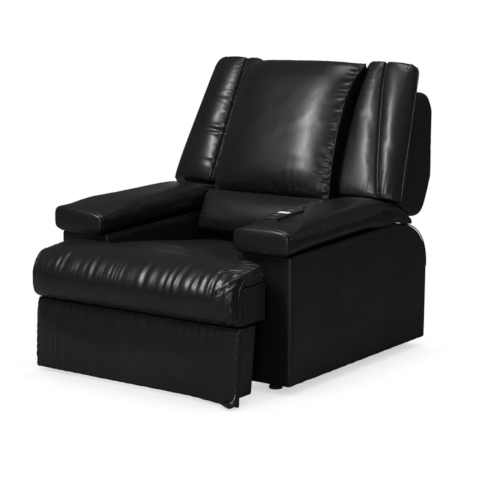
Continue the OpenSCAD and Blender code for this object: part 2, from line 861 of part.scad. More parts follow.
module back_tube() {
    x = stile_x - seat_gap;
    color(steel_c) place() {
        difference() {
            rod_x(-x, x, back_tube_r, back_pivot_y, back_pivot_z);
            rod_x(-x - over, x + over, back_tube_r - cross_wall, back_pivot_y, back_pivot_z);
        }
        for (s = [-1, 1]) difference() {
            slab_x(lever_x + s * (crank_gap + crank_t) / 2 - crank_t / 2,
                lever_x + s * (crank_gap + crank_t) / 2 + crank_t / 2) hull() {
                translate([back_pivot_y, back_pivot_z]) circle(back_tube_r + crank_t / 2);
                translate(lever_pin) circle(crank_half);
            }
            rod_x(lever_x - head_deep, lever_x + head_deep, back_tube_r - over, back_pivot_y, back_pivot_z);
        }
        rod_x(lever_x - crank_gap / 2 - over, lever_x + crank_gap / 2 + over, crank_pin_r,
            lever_pin[0], lever_pin[1]);
        for (side = [-1, 1]) sided(side)
            rod_x(stile_x - hinge_pin_in, arm_inner_x - seat_gap - slip_fit, hinge_pin_r,
                back_pivot_y, back_pivot_z);
    }
}

recline_z = back_pivot_z - lever_len;
recline_front = 206;
recline_len = 190;

module recline_rod() {
    color(zinc_c) place() {
        difference() {
            block([lever_x - head_wide / 2, lever_pin[0] - head_deep / 2, recline_z - head_tall / 4],
                [lever_x + head_wide / 2, lever_pin[0] + head_deep / 2, recline_z + head_tall / 2]);
            block([lever_x - head_wide / 2 - over, lever_pin[0] - slot_half,
                recline_z - head_tall / 4 + crank_pin_r / 2],
                [lever_x + head_wide / 2 + over, lever_pin[0] + slot_half,
                recline_z + head_tall / 2 - crank_pin_r]);
        }
        rod_y(lever_pin[0] - rod_len - head_deep, lever_pin[0] - head_deep / 2, rod_r, lever_x, recline_z);
    }
}

module recline_actuator() {
    rear = recline_front + recline_len + gear_len;
    color(plastic_c) place() {
        difference() {
            rod_y(recline_front + gear_len, rear, tube_r, lever_x, recline_z);
            rod_y(recline_front + gear_len - over, rear + over, rod_r + run_fit, lever_x, recline_z);
        }
        block([lever_x - gear_half, recline_front, recline_z - gear_half],
            [lever_x + gear_half, recline_front + gear_len, recline_z + gear_half]);
        block([lever_x - head_wide, cross_front_y, recline_z - head_wide],
            [lever_x + head_wide, recline_front, recline_z + head_wide]);
        block([lever_x - head_wide, cross_front_y, cross_low + cross_size + seat_gap],
            [lever_x + head_wide, cross_front_y + cross_size, recline_z - head_wide]);
    }
}

module recline_motor() {
    color(steel_c) place()
        drive_motor(lever_x + gear_half + seat_gap + motor_len, recline_front + gear_len / 2, recline_z);
}

// Outer shell: a tub behind the back board with a raked front edge and an upright rear.
// Its corners are shares of how far it reaches behind and above the back pivot.
shell_rise = 604;
shell_corner_shares = [[0.329, 0.3725], [0.648, 1], [0.851, 0.993], [1, 0.869], [1, 0.487], [0.8, 0.22]];
shell_corners = [for (p = shell_corner_shares)
    [back_pivot_y + shell_behind * p[0], back_pivot_z + shell_rise * p[1]]];
shell_front_low = shell_corners[0];
shell_front_top = shell_corners[1];
shell_top_rear = shell_corners[2];
shell_rear_top = shell_corners[3];
shell_rear_low = shell_corners[4];
shell_foot_rear = shell_corners[5];

module back_shell() {
    wall = shell_wall;
    color(leather_c) place() difference() {
        slab_x(-shell_half_w, shell_half_w) polygon(shell_corners);
        slab_x(-shell_half_w + wall, shell_half_w - wall)
            polygon([shell_front_low + [-shell_rear_y, wall], shell_front_top + [-shell_rear_y, -wall],
                shell_top_rear + [-wall / 2, -wall], shell_rear_top + [-wall, -wall / 2],
                shell_rear_low + [-wall, wall / 2], shell_foot_rear + [-wall / 2, wall],
                shell_front_low + [0, wall]]);
        on_back() block([-board_wide - seat_gap, -stile_top, -board_top],
            [board_wide + seat_gap, stile_half + seat_gap, 2 * board_top]);
    }
}

// Wings: two sewn channels each, wider at the foot than at the top
wing_rows = 12;
wing_cols = 11;
wing_seam_share = 0.6;
wing_edge_share = 0.7;
wing_rear_tuck = 26;
wing_seam_drop = 16;
wing_rear_in = 3;
wing_rear_reach = 26;
wing_lobe_power = 2.4;
wing_end_power = 4;

function back_u(p) = (p[0] - back_pivot_y) * sin(rake) + (p[1] - back_pivot_z) * cos(rake);
function back_w(p) = (p[0] - back_pivot_y) * cos(rake) - (p[1] - back_pivot_z) * sin(rake);
function shell_edge_at(u) = mix(back_w(shell_front_low), back_w(shell_front_top),
    max(0, min(1, (u - back_u(shell_front_low))
        / (back_u(shell_front_top) - back_u(shell_front_low)))));

function wing_row(i, up) = let (
    t = spread(i, wing_rows),
    u = mix(wing_low, wing_high, t),
    outer = mix(wing_foot_x, wing_top_x, t) - (up ? 0 : wing_rear_tuck * t * t),
    ends = mix(wing_edge_share, 1, swell(t, wing_end_power)))
    [for (j = [0:wing_cols - 1]) let (
        s = j / (wing_cols - 1),
        x = mix(wing_inner_x, outer, s),
        lobe = s < wing_seam_share ? swell(s / wing_seam_share, wing_lobe_power)
            : swell((s - wing_seam_share) / (1 - wing_seam_share), wing_lobe_power),
        flat = board_front - seat_gap,
        seat = x > board_wide - wing_rear_reach ? min(shell_edge_at(u) - wing_rear_in, flat) : flat,
        face = -wing_face + wing_seam_drop * (1 - lobe))
        [x, up ? mix(seat, face, ends) : seat, u]];

module wing(side) {
    color(leather_soft_c) place() on_back() sided(side)
        padded([for (i = [0:wing_rows - 1]) wing_row(i, true)],
            [for (i = [0:wing_rows - 1]) wing_row(i, false)]);
}

// Centre pillow, boxed between the wings and crowned over their faces
pillow_low = 203;
pillow_high = 735;
pillow_rows = 13;
pillow_cols = 13;
pillow_edge = 134;
pillow_power = 3.2;

function pillow_row(i, up) = let (
    t = spread(i, pillow_rows),
    u = mix(pillow_low, pillow_high, t),
    half = wing_inner_x - 2 * seat_gap)
    [for (j = [0:pillow_cols - 1]) let (
        s = spread(j, pillow_cols),
        crown = swell(t, pillow_power) * swell(s, pillow_power))
        [half * (2 * s - 1), up ? mix(-pillow_edge, -pillow_face, crown) : board_front - seat_gap, u]];

module back_pillow() {
    color(leather_soft_c) place() on_back()
        padded([for (i = [0:pillow_rows - 1]) pillow_row(i, true)],
            [for (i = [0:pillow_rows - 1]) pillow_row(i, false)]);
}

// Lumbar roll between the seat cushion and the pillow
lumbar_low = 46;
lumbar_rear_low = 48;
lumbar_high = 201;
lumbar_half_w = 254;
lumbar_rows = 9;
lumbar_cols = 9;
lumbar_edge = 146;
lumbar_power = 2.4;
lumbar_side_power = 5;

function lumbar_row(i, up) = let (
    t = spread(i, lumbar_rows),
    u = mix(up ? lumbar_low : lumbar_rear_low, lumbar_high, t))
    [for (j = [0:lumbar_cols - 1]) let (
        s = spread(j, lumbar_cols),
        crown = swell(t, lumbar_power) * swell(s, lumbar_side_power))
        [lumbar_half_w * (2 * s - 1),
            up ? mix(-lumbar_edge, -lumbar_face, crown) : board_front - seat_gap, u]];

module lumbar_cushion() {
    color(leather_soft_c) place() on_back()
        padded([for (i = [0:lumbar_rows - 1]) lumbar_row(i, true)],
            [for (i = [0:lumbar_rows - 1]) lumbar_row(i, false)]);
}

// Handset on the right pad, with a bare plate, two keys and a stub for the lead
handset_y = 52;
handset_x = 360;
handset_turn = 4;
handset_round = 9;
key_w = 20;
key_len = 26;
key_t = 4;
key_travel = 1;
key_y_shares = [0.18, 0.67];
face_w = 40;
face_len = 22;
face_t = 1.2;
face_y_share = 0.44;
stub_r = 4;
stub_len = 26;
function pad_top_at(y) = arm_top_at(y) + seat_gap + pad_thick((y + pad_over_front) / pad_len);
handset_z = pad_top_at(handset_y) + seat_gap;
handset_tilt = atan((pad_top_at(handset_y + handset_len) - pad_top_at(handset_y)) / handset_len);

module at_handset() {
    translate([handset_x, handset_y, handset_z]) rotate([handset_tilt, 0, handset_turn]) children();
}

// A point on the handset's middle line, at half its thickness
function handset_point(y) = [handset_x, handset_y, handset_z]
    + y * [-sin(handset_turn) * cos(handset_tilt), cos(handset_turn) * cos(handset_tilt), sin(handset_tilt)]
    + handset_t / 2 * [sin(handset_turn) * sin(handset_tilt), -cos(handset_turn) * sin(handset_tilt),
        cos(handset_tilt)];

module handset_case() {
    w = handset_w;
    face_y = handset_len * face_y_share;
    color(plastic_c) place() at_handset() {
        difference() {
            linear_extrude(handset_t) hull()
                for (x = [-1, 1], y = [handset_round, handset_len - handset_round])
                    translate([x * (w / 2 - handset_round), y]) circle(handset_round);
            block([-face_w / 2, face_y, handset_t - face_t],
                [face_w / 2, face_y + face_len, handset_t + over]);
            for (share = key_y_shares) let (y = handset_len * share)
                block([-key_w / 2 - slip_fit, y - slip_fit, handset_t - key_t - key_travel],
                    [key_w / 2 + slip_fit, y + key_len + slip_fit, handset_t + over]);
        }
        translate([0, handset_len, handset_t / 2]) rotate([-90, 0, 0]) cylinder(r = stub_r, h = stub_len);
    }
}

module handset_plate() {
    y = handset_len * face_y_share;
    color("white") place() at_handset()
        block([-face_w / 2, y, handset_t - face_t], [face_w / 2, y + face_len, handset_t]);
}

module handset_key(share) {
    y = handset_len * share;
    low = handset_t - key_t + key_travel / 2;
    color(zinc_c) place() at_handset()
        block([-key_w / 2, y, low], [key_w / 2, y + key_len, low + key_t]);
}

// Lead: from the grommet in the arm's inner face, over the pad's inner edge, to the stub
cord_r = 2.5;
cord_sides = 8;
cord_lead_in = 8;
cord_level_share = 0.2;
cord_route = [[263, 395, 425], [258, 395, 425], [254, 395, 427], [251, 394, 432], [250, 393, 440],
    [251, 390, 456], [254, 386, 474], [259, 381, 492], [263, 377, 508], [267, 373, 523], [272, 369, 533],
    [280, 363, 540], [291, 354, 545], [303, 343, 548], [315, 328, 549], [326, 310, 550], [335, 291, 552]];
cord_points = concat(cord_route, [handset_point(handset_len + stub_len + cord_lead_in),
    handset_point(handset_len + stub_len)]);

module cord_tube(points) {
    last = len(points) - 1;
    function along(i) = let (d = points[min(i + 1, last)] - points[max(i - 1, 0)]) d / norm(d);
    rings = [for (i = [0:last]) let (
        t = along(i),
        side = cross(t, [0, 0, 1]),
        a = norm(side) > cord_level_share ? side / norm(side) : [0, 1, 0],
        b = cross(a, t))
        [for (k = [0:cord_sides - 1]) points[i]
            + cord_r * (cos(360 * k / cord_sides) * a + sin(360 * k / cord_sides) * b)]];
    body = [for (i = [0:last - 1]) for (k = [0:cord_sides - 1]) let (n = (k + 1) % cord_sides) each [
        [i * cord_sides + k, i * cord_sides + n, (i + 1) * cord_sides + n],
        [i * cord_sides + k, (i + 1) * cord_sides + n, (i + 1) * cord_sides + k]]];
    caps = [for (k = [1:cord_sides - 2]) each [[0, k + 1, k],
        [last * cord_sides, last * cord_sides + k, last * cord_sides + k + 1]]];
    polyhedron([for (ring = rings) each ring], concat(body, caps), convexity = 6);
}

module handset_cord() {
    color(plastic_c) place() cord_tube(cord_points);
}

grommet_r = 8;

module cord_grommet() {
    y = cord_points[0][1];
    z = cord_points[0][2];
    color(plastic_c) place() rod_x(cord_points[0][0], arm_inner_x - seat_gap, grommet_r, y, z);
}

arm_box(-1);  // arm_box_left
arm_box(1);  // arm_box_right
arm_frame(-1);  // arm_frame_left
arm_frame(1);  // arm_frame_right
arm_base_boards();
arm_pad(-1);  // arm_pad_left
arm_pad(1);  // arm_pad_right
floor_glides();
base_rail(-1);  // base_rail_left
base_rail(1);  // base_rail_right
base_cross(cross_front_y);  // base_cross_front
base_cross(cross_rear_y);  // base_cross_rear
back_brackets();
control_box();
recline_actuator();
recline_motor();
cord_grommet();
handset_cord();
seat_plate(-1);  // seat_plate_left
seat_plate(1);  // seat_plate_right
glide_shoes();
front_block();
seat_rail(-1);  // seat_rail_left
seat_rail(1);  // seat_rail_right
seat_rail_rear();
seat_springs();
seat_cushion();
chaise_roll();
seat_cross_tube();
lift_actuator();
lift_motor();
seat_pins();
lift_link(-1);  // lift_link_left
lift_link(1);  // lift_link_right
lift_tube();
lift_pins();
cross_link(-1);  // cross_link_left
cross_link(1);  // cross_link_right
cross_pins();
toe_links();
rest_brackets();
rest_board();
rest_pad();
rest_pins();
lift_rod();
recline_rod();
back_stile(-1);  // back_stile_left
back_stile(1);  // back_stile_right
back_board();
back_shell();
wing(-1);  // wing_left
wing(1);  // wing_right
back_pillow();
lumbar_cushion();
back_tube();
handset_case();
handset_plate();
handset_key(key_y_shares[0]);  // key_lift
handset_key(key_y_shares[1]);  // key_recline
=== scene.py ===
"""Cinema recliner seat, dressed in glossy black leather for a plain studio.

The pieces' sizes are in millimetres, with y counted from the fronts of the arms. The meshes are
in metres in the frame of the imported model: +X is the seat's right as seen from the front, +Y is
its rear and the floor is z = 0. Soft pieces are grids of points that are filled by a short cloth
simulation with their seams held, and then get their creases.
"""

import json
import logging
import math
from dataclasses import dataclass, field
from enum import Enum
from typing import Sequence

import bpy
import numpy as np
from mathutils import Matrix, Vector

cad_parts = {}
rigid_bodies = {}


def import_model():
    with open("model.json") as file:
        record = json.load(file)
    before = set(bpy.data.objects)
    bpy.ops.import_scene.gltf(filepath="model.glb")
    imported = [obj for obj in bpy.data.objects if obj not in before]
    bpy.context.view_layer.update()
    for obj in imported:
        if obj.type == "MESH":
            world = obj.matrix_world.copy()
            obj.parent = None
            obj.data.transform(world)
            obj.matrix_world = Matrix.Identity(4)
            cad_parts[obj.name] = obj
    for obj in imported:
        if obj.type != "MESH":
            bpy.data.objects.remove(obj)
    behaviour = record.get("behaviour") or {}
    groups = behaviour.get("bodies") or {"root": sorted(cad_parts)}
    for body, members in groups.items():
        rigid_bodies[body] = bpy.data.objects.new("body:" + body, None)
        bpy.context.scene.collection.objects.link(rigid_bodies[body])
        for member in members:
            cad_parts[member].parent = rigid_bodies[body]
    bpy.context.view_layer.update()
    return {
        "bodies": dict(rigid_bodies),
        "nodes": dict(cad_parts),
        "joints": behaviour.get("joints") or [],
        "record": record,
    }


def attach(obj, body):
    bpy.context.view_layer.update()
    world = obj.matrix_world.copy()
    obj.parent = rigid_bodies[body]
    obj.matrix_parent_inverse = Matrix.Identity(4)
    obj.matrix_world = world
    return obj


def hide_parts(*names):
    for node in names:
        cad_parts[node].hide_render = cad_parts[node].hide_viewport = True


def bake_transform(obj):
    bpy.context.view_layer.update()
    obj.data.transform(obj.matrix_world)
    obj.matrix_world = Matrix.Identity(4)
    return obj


logging.basicConfig(level=logging.INFO, format="%(message)s")
LOG = logging.getLogger("seat")

Grid = np.ndarray
# How far the frame's origin lies behind the fronts of the arms, in metres.
FRAME_SHIFT = 0.367
# Keeps a length from being zero where something is divided by it.
TINY = 1e-9


class Side(Enum):
    """The seat's two sides, as seen from the front."""

    LEFT = -1
    RIGHT = 1


class Slot(Enum):
    """The record's material slots whose finishes the dressed pieces wear."""

    PANEL = "leather"
    SOFT = "leather_soft"
    CASE = "handset_plastic"
    LEAD = "lead_rubber"


# Curves and grids


def row(points: Grid) -> Grid:
    """Turns drawing millimetres, whose y is zero at the arm fronts, into frame metres.

    Args:
        points: An array whose last axis is x, y, z in millimetres.

    Returns:
        The same points in metres, with y counted from the middle of the footprint.
    """
    out = np.asarray(points, dtype=float) / 1000.0
    out[..., 1] -= FRAME_SHIFT
    return out


def mix(a: Grid, b: Grid, t: Grid) -> Grid:
    """Returns the blend a + (b - a) t."""
    return a + (b - a) * t


def smooth(t: Grid) -> Grid:
    """Returns the cubic step 3t^2 - 2t^3 of t held between 0 and 1."""
    t = np.clip(t, 0.0, 1.0)
    return t * t * (3.0 - 2.0 * t)


def swell(t: Grid, power: float) -> Grid:
    """Returns a superellipse's height over t from 0 to 1, which is (1 - |2t - 1|^p)^(1/p)."""
    return np.clip(1.0 - np.abs(2.0 * t - 1.0) ** power, 0.0, 1.0) ** (1.0 / power)


def bell(distance: Grid, width: float) -> Grid:
    """Returns a Gaussian bell exp(-(d / w)^2) of the distance."""
    return np.exp(-((distance / width) ** 2))


def spread(count: int, edge: float = 0.55) -> Grid:
    """Returns places from 0 to 1 that lie closer together near both ends.

    Args:
        count: How many places.
        edge: 0 spaces them evenly, 1 as the cosine of even angles.

    Returns:
        The blend of an even run and (1 - cos(pi t)) / 2.
    """
    t = np.linspace(0.0, 1.0, count)
    return mix(t, (1.0 - np.cos(np.pi * t)) / 2.0, edge)


def coons(bottom: Grid, top: Grid, left: Grid, right: Grid) -> Grid:
    """Fills four border curves with a Coons patch.

    The patch is the blend of bottom and top, plus that of left and right, less the blend of
    the four corners.

    Args:
        bottom: Points from the left to the right corner below.
        top: Points from the left to the right corner above.
        left: Points from the lower to the upper corner on the left.
        right: Points from the lower to the upper corner on the right.

    Returns:
        A grid of len(left) rows and len(bottom) columns.
    """
    t = np.linspace(0.0, 1.0, len(left))[:, None, None]
    s = np.linspace(0.0, 1.0, len(bottom))[None, :, None]
    ruled = mix(bottom[None], top[None], t) + mix(left[:, None], right[:, None], s)
    corners = mix(mix(bottom[0], bottom[-1], s), mix(top[0], top[-1], s), t)
    return ruled - corners


def resample(path: Grid, count: int) -> Grid:
    """Returns count points spaced evenly by length along a path of points."""
    steps = np.linalg.norm(np.diff(path, axis=0), axis=1)
    length = np.concatenate([[0.0], np.cumsum(steps)])
    at = np.linspace(0.0, length[-1], count)
    return np.stack([np.interp(at, length, path[:, k]) for k in range(path.shape[1])], axis=1)


def noise(u: Grid, v: Grid, seed: int) -> Grid:
    """Smooth lattice noise from 0 to 1.

    Each lattice point has a random value, and a point between four of them takes their blend
    by the cubic step.

    Args:
        u: First coordinate, in lattice cells.
        v: Second coordinate, in lattice cells.
        seed: Picks the lattice.

    Returns:
        The noise at each point.
    """
    table = np.random.default_rng(seed).random((97, 97))
    iu, iv = np.floor(u).astype(int), np.floor(v).astype(int)
    fu, fv = smooth(u - iu), smooth(v - iv)
    low = mix(table[iu % 97, iv % 97], table[(iu + 1) % 97, iv % 97], fu)
    high = mix(table[iu % 97, (iv + 1) % 97], table[(iu + 1) % 97, (iv + 1) % 97], fu)
    return mix(low, high, fv)


def crumple(u: Grid, v: Grid, seed: int) -> Grid:
    """Leather's slack waves: two octaves of noise, bent by a third, from -1 to 1."""
    bend = noise(u * 0.5 + 11.0, v * 0.5, seed + 1) * 2.2
    first = noise(u + bend, v - bend, seed)
    second = 1.0 - np.abs(2.0 * noise(1.9 * u - bend, 1.9 * v + bend, seed + 2) - 1.0)
    return 1.3 * (first - 0.5) + 0.7 * (second - 0.6)


def gathers(along: Grid, away: Grid, pitch: float, reach: float, seed: int) -> Grid:
    """Ridges that run away from a gathered seam and die out.

    Across the seam's run the height is a row of rounded ridges, cos(2 pi x / pitch), whose
    pitch is shaken by noise. Each ridge has its own strength and length.

    Args:
        along: Distance along the seam.
        away: Distance from the seam.
        pitch: Mean distance between ridges.
        reach: Mean length of a ridge.
        seed: Picks the noise.

    Returns:
        A height from about -1 to 1.
    """
    zero = np.zeros_like(along)
    shake = noise(along / (1.7 * pitch), zero, seed) * 1.5
    wander = (noise(along / (2.0 * pitch), away / (2.5 * reach), seed + 3) - 0.5) * 0.9
    ridge = np.cos(2.0 * np.pi * (along / pitch + shake + wander))
    ridge = np.sign(ridge) * np.abs(ridge) ** 0.8
    own = noise(along / (1.2 * pitch), zero + 7.0, seed + 5)
    fade = np.exp(-((away / (reach * (0.35 + 1.1 * own))) ** 2))
    return ridge * fade * (0.35 + 0.9 * own)


@dataclass(frozen=True)
class Gather:
    """Gathers along one seam: their height, pitch and reach in mm, and what picks their noise."""

    height: float
    pitch: float
    reach: float
    seed: int

    def lift(self, along: Grid, away: Grid, seed: int = 0) -> Grid:
        """Returns how far the gathers stand up, from the places along and away from the seam."""
        return self.height * gathers(along, away, self.pitch, self.reach, self.seed + seed)


@dataclass(frozen=True)
class Slack:
    """Slack waves of loose leather: their height and their two sizes in mm, and their seed."""

    height: float
    wide: float
    tall: float
    seed: int

    def lift(self, across: Grid, up: Grid, seed: int = 0) -> Grid:
        """Returns how far the waves stand up, from the places on the surface."""
        return self.height * crumple(across / self.wide, up / self.tall, self.seed + seed)


@dataclass(frozen=True)
class SeamLine:
    """A sewn line: a groove in mm, and the leather that stands up at some distance beside it."""

    depth: float
    width: float
    rise: float = 0.0
    beside: float = 0.0
    fade: float = 1.0

    def lift(self, away: Grid) -> Grid:
        """Returns rise bell(|away| - beside) - depth bell(away), the height beside the line."""
        return self.rise * bell(np.abs(away) - self.beside, self.fade) - self.depth * bell(away, self.width)


# Meshes


def make_object(name: str, points: Grid, faces: Sequence[Sequence[int]]) -> bpy.types.Object:
    """Puts points and faces into a new object at the origin, smooth and facing outwards.

    Args:
        name: The object's name.
        points: N by 3 coordinates in metres.
        faces: Corner numbers of each face.

    Returns:
        The object, linked to the scene.
    """
    mesh = bpy.data.meshes.new(name)
    mesh.from_pydata(points.tolist(), [], [list(map(int, f)) for f in faces])
    mesh.update()
    if signed_volume(mesh) < 0.0:
        mesh.flip_normals()
    mesh.polygons.foreach_set("use_smooth", np.ones(len(mesh.polygons), dtype=bool))
    thing = bpy.data.objects.new(name, mesh)
    bpy.context.scene.collection.objects.link(thing)
    return thing


def signed_volume(mesh: bpy.types.Mesh) -> float:
    """Returns the volume inside the mesh, which is negative if its faces point inwards."""
    mesh.calc_loop_triangles()
    corners = np.empty(len(mesh.loop_triangles) * 3, dtype=np.int32)
    mesh.loop_triangles.foreach_get("vertices", corners)
    a, b, c = (get_points(mesh)[corners.reshape(-1, 3)[:, k]] for k in range(3))
    return float(np.einsum("ij,ij->i", a, np.cross(b, c)).sum() / 6.0)


def get_points(mesh: bpy.types.Mesh) -> Grid:
    """Returns the mesh's vertices as an N by 3 array."""
    out = np.empty(len(mesh.vertices) * 3)
    mesh.vertices.foreach_get("co", out)
    return out.reshape(-1, 3)


def set_points(mesh: bpy.types.Mesh, points: Grid) -> None:
    """Writes an N by 3 array into the mesh's vertices."""
    mesh.vertices.foreach_set("co", points.astype(np.float32).ravel())
    mesh.update()


def get_normals(mesh: bpy.types.Mesh) -> Grid:
    """Returns the mesh's vertex normals as an N by 3 array."""
    out = np.empty(len(mesh.vertices) * 3)
    mesh.vertex_normals.foreach_get("vector", out)
    return out.reshape(-1, 3)


@dataclass
class Hull:
    """A closed surface between a face grid and a back grid, with a rim of its own rows."""

    points: Grid
    faces: list
    rows: int
    cols: int
    rim: int

    def face(self, values: Grid) -> Grid:
        """Returns the part of per-vertex values that lies on the face grid, as a grid."""
        return values[: self.rows * self.cols].reshape(self.rows, self.cols, -1)

    def spread_values(self, face: Grid, back: float = 0.0) -> Grid:
        """Carries a value per face point over the rim, fading to one value on the back.

        Args:
            face: Rows by columns of values on the face grid.
            back: The value on the back grid.

        Returns:
            One value per vertex.
        """
        count = self.rows * self.cols
        loop = border(self.rows, self.cols)
        edge = face.ravel()[loop]
        rims = [mix(edge, back, k / self.rim) for k in range(1, self.rim)]
        return np.concatenate([face.ravel(), np.full(count, back), *rims])


def border(rows: int, cols: int) -> Grid:
    """Returns the numbers of a grid's border points in order, once round."""
    low = np.arange(cols)
    right = np.arange(1, rows) * cols + cols - 1
    high = (rows - 1) * cols + np.arange(cols - 2, -1, -1)
    left = np.arange(rows - 2, 0, -1) * cols
    return np.concatenate([low, right, high, left])


def grid_faces(rows: int, cols: int, start: int = 0) -> Grid:
    """Returns the quads of a grid whose first point has the number start."""
    i, j = np.meshgrid(np.arange(rows - 1), np.arange(cols - 1), indexing="ij")
    a = (i * cols + j).ravel() + start
    return np.stack([a, a + 1, a + cols + 1, a + cols], axis=1)


def hull(front: Grid, rear: Grid, rim: int = 4, bulge: float = 0.0, skip: str = "") -> Hull:
    """Closes the space between two grids with a rim.

    A rim row is the blend of the two borders, and bulges outwards in its middle by a sine.

    Args:
        front: Rows by columns by 3, the face.
        rear: The same for the back.
        rim: Steps of the rim from the face to the back.
        bulge: How far the rim's middle stands out.
        skip: "left" leaves the rim open along the grid's first column.

    Returns:
        The closed surface.
    """
    rows, cols = front.shape[:2]
    count = rows * cols
    loop = border(rows, cols)
    a, b = front.reshape(-1, 3)[loop], rear.reshape(-1, 3)[loop]
    middle = a.mean(axis=0)
    out = a - middle
    axis = (b - a).mean(axis=0)
    axis = axis / max(np.linalg.norm(axis), TINY)
    out = out - np.outer(out @ axis, axis)
    out = out / np.maximum(np.linalg.norm(out, axis=1, keepdims=True), TINY)
    rings = [mix(a, b, k / rim) + out * bulge * math.sin(math.pi * k / rim) for k in range(1, rim)]
    points = np.concatenate([front.reshape(-1, 3), rear.reshape(-1, 3), *rings])
    between_grids = [2 * count + k * len(loop) + np.arange(len(loop)) for k in range(rim - 1)]
    numbers = [loop, *between_grids, loop + count]
    faces = [grid_faces(rows, cols), grid_faces(rows, cols, count)[:, ::-1]]
    for low, high in zip(numbers[:-1], numbers[1:]):
        quads = np.stack([low, high, np.roll(high, -1), np.roll(low, -1)], axis=1)
        if skip == "left":
            quads = quads[: cols - 1 + rows - 1 + cols - 1]
        faces.append(quads)
    return Hull(points, np.concatenate(faces).tolist(), rows, cols, rim)


def sleeve(rings: Grid, centre_first: Grid, centre_last: Grid) -> tuple[Grid, list]:
    """Joins closed rings into a tube whose ends run in to a centre point.

    Args:
        rings: Sections by points by 3.
        centre_first: The point that closes the first ring.
        centre_last: The point that closes the last ring.

    Returns:
        Its points and faces.
    """
    m, n = rings.shape[:2]
    k = np.arange(n)
    body = [np.stack([i * n + k, i * n + (k + 1) % n, (i + 1) * n + (k + 1) % n, (i + 1) * n + k], axis=1)
            for i in range(m - 1)]
    faces = np.concatenate(body).tolist()
    faces += [[m * n, int((q + 1) % n), int(q)] for q in k]
    faces += [[m * n + 1, int((m - 1) * n + q), int((m - 1) * n + (q + 1) % n)] for q in k]
    return np.concatenate([rings.reshape(-1, 3), [centre_first], [centre_last]]), faces


def tube(path: Grid, radius: Grid, up: Grid, sides: int = 8) -> tuple[Grid, list]:
    """Carries a circle along a path.

    A ring's plane holds cross(tangent, up) and the cross of that with the tangent.

    Args:
        path: Points along the middle of the tube.
        radius: One radius, or one per point.
        up: One direction, or one per point, that is nowhere along the path.
        sides: Corners of the section.

    Returns:
        Its points and faces, closed at both ends.
    """
    along = np.gradient(path, axis=0)
    along /= np.maximum(np.linalg.norm(along, axis=1, keepdims=True), TINY)
    up = np.broadcast_to(up, path.shape)
    side = np.cross(along, up)
    side /= np.maximum(np.linalg.norm(side, axis=1, keepdims=True), TINY)
    lift = np.cross(side, along)
    turn = np.linspace(0.0, 2.0 * np.pi, sides, endpoint=False)
    r = np.broadcast_to(np.asarray(radius, dtype=float), (len(path),))[:, None, None]
    rings = path[:, None] + r * (np.cos(turn)[None, :, None] * side[:, None]
                                 + np.sin(turn)[None, :, None] * lift[:, None])
    return sleeve(rings, path[0] - along[0] * float(r[0, 0, 0]) * 0.5,
                  path[-1] + along[-1] * float(r[-1, 0, 0]) * 0.5)


def join_parts(parts: Sequence[tuple[Grid, list]]) -> tuple[Grid, list]:
    """Puts several meshes' points and faces into one list of each."""
    points, faces, start = [], [], 0
    for part_points, part_faces in parts:
        points.append(part_points)
        faces += [[int(c) + start for c in f] for f in part_faces]
        start += len(part_points)
    return np.concatenate(points), faces


# Cloth


CLOTH = {
    "quality": 5,
    "mass": 0.15,
    "tension_stiffness": 25.0,
    "compression_stiffness": 25.0,
    "shear_stiffness": 8.0,
    "bending_stiffness": 1.2,
    "tension_damping": 8.0,
    "compression_damping": 8.0,
    "air_damping": 3.0,
    "pin_stiffness": 4.0,
}
HOLD_STEPS = 20.0


@dataclass(frozen=True)
class Stuffing:
    """How a soft piece is filled: its pressure, its leather's growth, and its cap in metres."""

    pressure: float
    growth: float
    cap: float


@dataclass
class Fill:
    """One soft piece on its way through the cloth simulation."""

    thing: bpy.types.Object
    hold: Grid
    stuffing: Stuffing
    before: Grid = field(default_factory=lambda: np.zeros((0, 3)))


def evened(mesh: bpy.types.Mesh, move: Grid, free: Grid, rounds: int = 10) -> Grid:
    """Evens out a movement over the mesh's edges, so that the cloth's small kinks go.

    Each round takes the mean of a point's own movement and its neighbours' mean one.

    Args:
        mesh: The mesh that moves.
        move: N by 3 movements.
        free: How free each point is, from 0 where it is held to 1.
        rounds: How often.

    Returns:
        The evened movements, which are zero where a point is held.
    """
    ends = np.empty(len(mesh.edges) * 2, dtype=np.int64)
    mesh.edges.foreach_get("vertices", ends)
    a, b = ends.reshape(-1, 2).T
    count = np.bincount(ends, minlength=len(move))[:, None]
    for _ in range(rounds):
        total = np.zeros_like(move)
        np.add.at(total, a, move[b])
        np.add.at(total, b, move[a])
        move = 0.5 * (move + total / np.maximum(count, 1)) * free[:, None]
    return move


